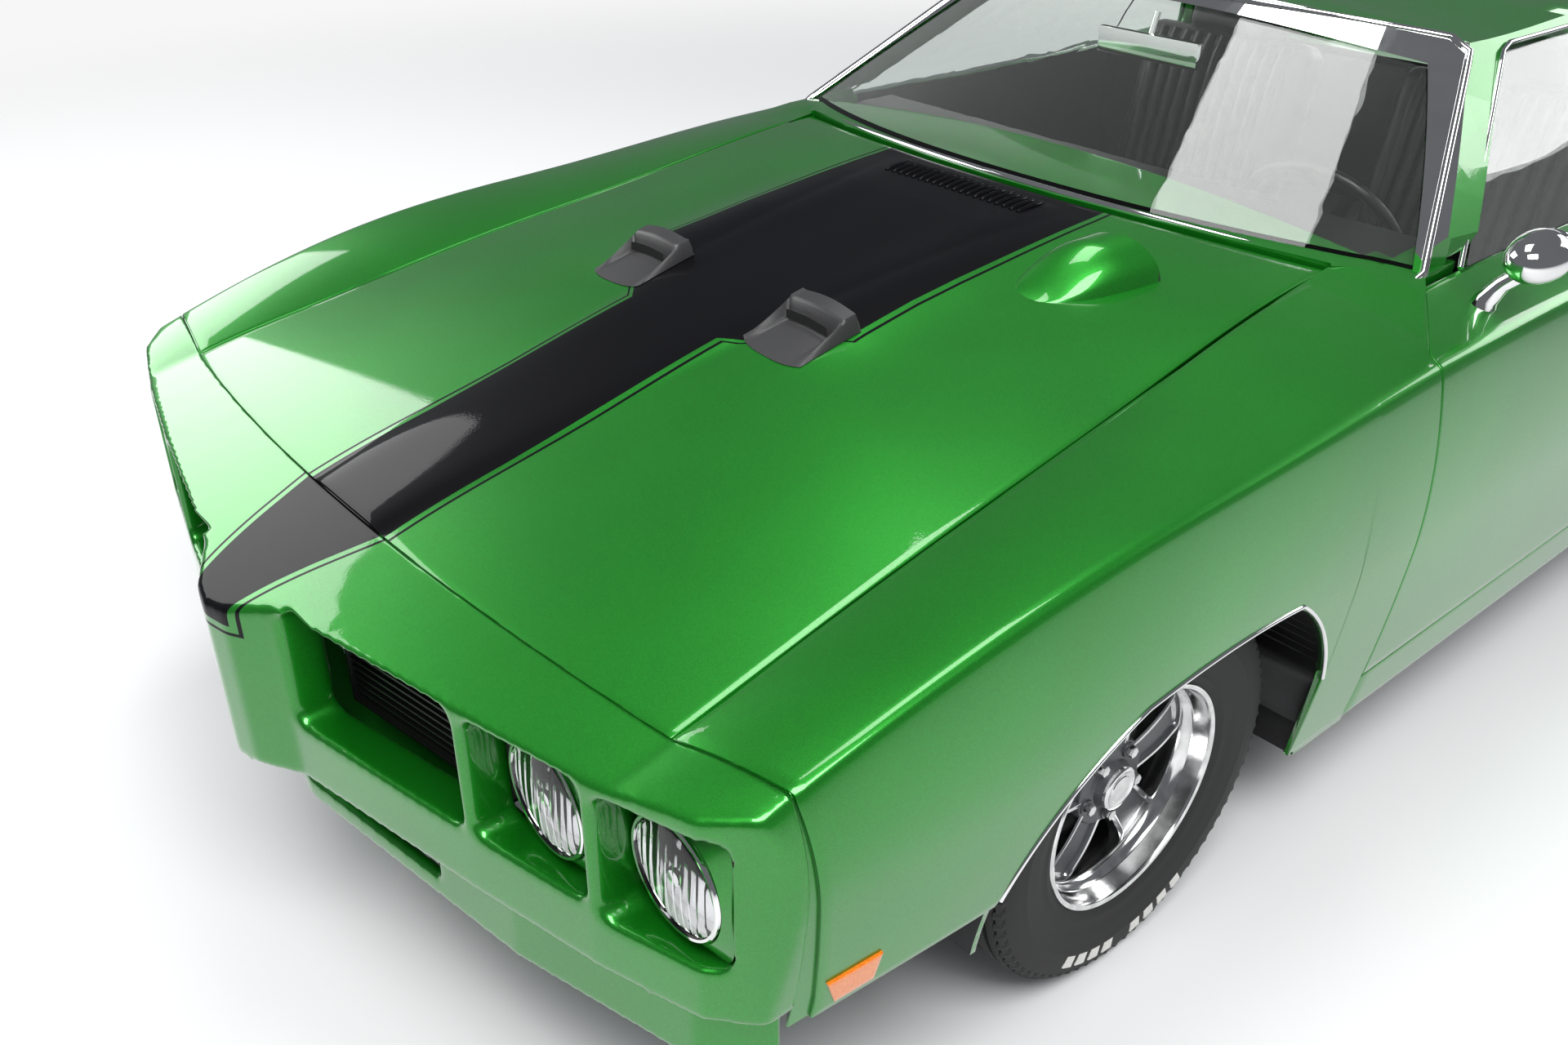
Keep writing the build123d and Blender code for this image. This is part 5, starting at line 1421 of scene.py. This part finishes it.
def makeStage():
    mesh = bpy.data.meshes.new("floorSheet")
    far = stageSizes["floorHalf"]
    mesh.from_pydata([(-far, -far, 0), (far, -far, 0), (far, far, 0), (-far, far, 0)], [], [(0, 1, 2, 3)])
    floor = link(bpy.data.objects.new("floorSheet", mesh))
    mat, nodes, links, shader = newMaterial("floorPaper")
    shader.inputs["Base Color"].default_value = (*[stageSizes["floorShade"]] * 3, 1)
    shader.inputs["Roughness"].default_value = 0.9
    # the floor fades out, so that it has no horizon
    coords = nodes.new("ShaderNodeTexCoord")
    length = nodes.new("ShaderNodeVectorMath")
    length.operation = "LENGTH"
    links.new(coords.outputs["Object"], length.inputs[0])
    fade = ramp1(mat.node_tree, length.outputs["Value"], stageSizes["fadeFrom"], stageSizes["fadeTo"], 1, 0)
    fade.node.interpolation_type = "SMOOTHSTEP"
    links.new(fade, shader.inputs["Alpha"])
    mesh.materials.append(mat)
    world = bpy.data.worlds.new("studio")
    world.use_nodes = True
    nodes, links = world.node_tree.nodes, world.node_tree.links
    nodes.clear()
    out = nodes.new("ShaderNodeOutputWorld")
    mix = nodes.new("ShaderNodeMixShader")
    seen, lit = nodes.new("ShaderNodeBackground"), nodes.new("ShaderNodeBackground")
    seen.inputs["Color"].default_value = (*[stageSizes["backdrop"]] * 3, 1)
    lit.inputs["Color"].default_value = (0.90, 0.94, 1.0, 1)
    path = nodes.new("ShaderNodeLightPath")
    links.new(ramp1(world.node_tree, path.outputs["Is Glossy Ray"], 0, 1, stageSizes["diffuse"],
                    stageSizes["glossy"]), lit.inputs["Strength"])
    links.new(math1(world.node_tree, "MAXIMUM", path.outputs["Is Camera Ray"],
                    path.outputs["Is Transmission Ray"]), mix.inputs["Fac"])
    links.new(lit.outputs[0], mix.inputs[1])
    links.new(seen.outputs[0], mix.inputs[2])
    links.new(mix.outputs[0], out.inputs["Surface"])
    bpy.context.scene.world = world
    for name, (place, size, power) in lights.items():
        data = bpy.data.lights.new(name, "AREA")
        data.shape = "RECTANGLE"
        data.size = size
        data.size_y = size * 0.6
        data.energy = power
        lamp = link(bpy.data.objects.new(name, data))
        lamp.location = place
        way = Vector((0, -0.2, 0.5)) - Vector(place)
        lamp.rotation_euler = way.to_track_quat("-Z", "Y").to_euler()


# matched to the photograph: angles in degrees, lens and sensor in millimetres
photo = {"place": (1.78985, -3.02414, 1.82439), "azimuth": 49.38279, "elevation": 30.5463, "roll": 0.22057,
         "lens": 32.30, "sensor": 36.0}


def makeCamera():
    data = bpy.data.cameras.new("photoCamera")
    cam = link(bpy.data.objects.new("photoCamera", data))
    data.sensor_width, data.lens = photo["sensor"], photo["lens"]
    cam.location = photo["place"]
    az, el, roll = (math.radians(photo[key]) for key in ("azimuth", "elevation", "roll"))
    back = Vector((math.sin(az) * math.cos(el), -math.cos(az) * math.cos(el), math.sin(el)))
    right = Vector((0, 0, 1)).cross(back).normalized()
    up = back.cross(right)
    rolledRight = right * math.cos(roll) + up * math.sin(roll)
    rolledUp = right * -math.sin(roll) + up * math.cos(roll)
    cam.rotation_euler = Matrix((rolledRight, rolledUp, back)).transposed().to_euler()
    bpy.context.scene.camera = cam


makeStage()
makeCamera()
bpy.context.scene.view_settings.view_transform = "Standard"
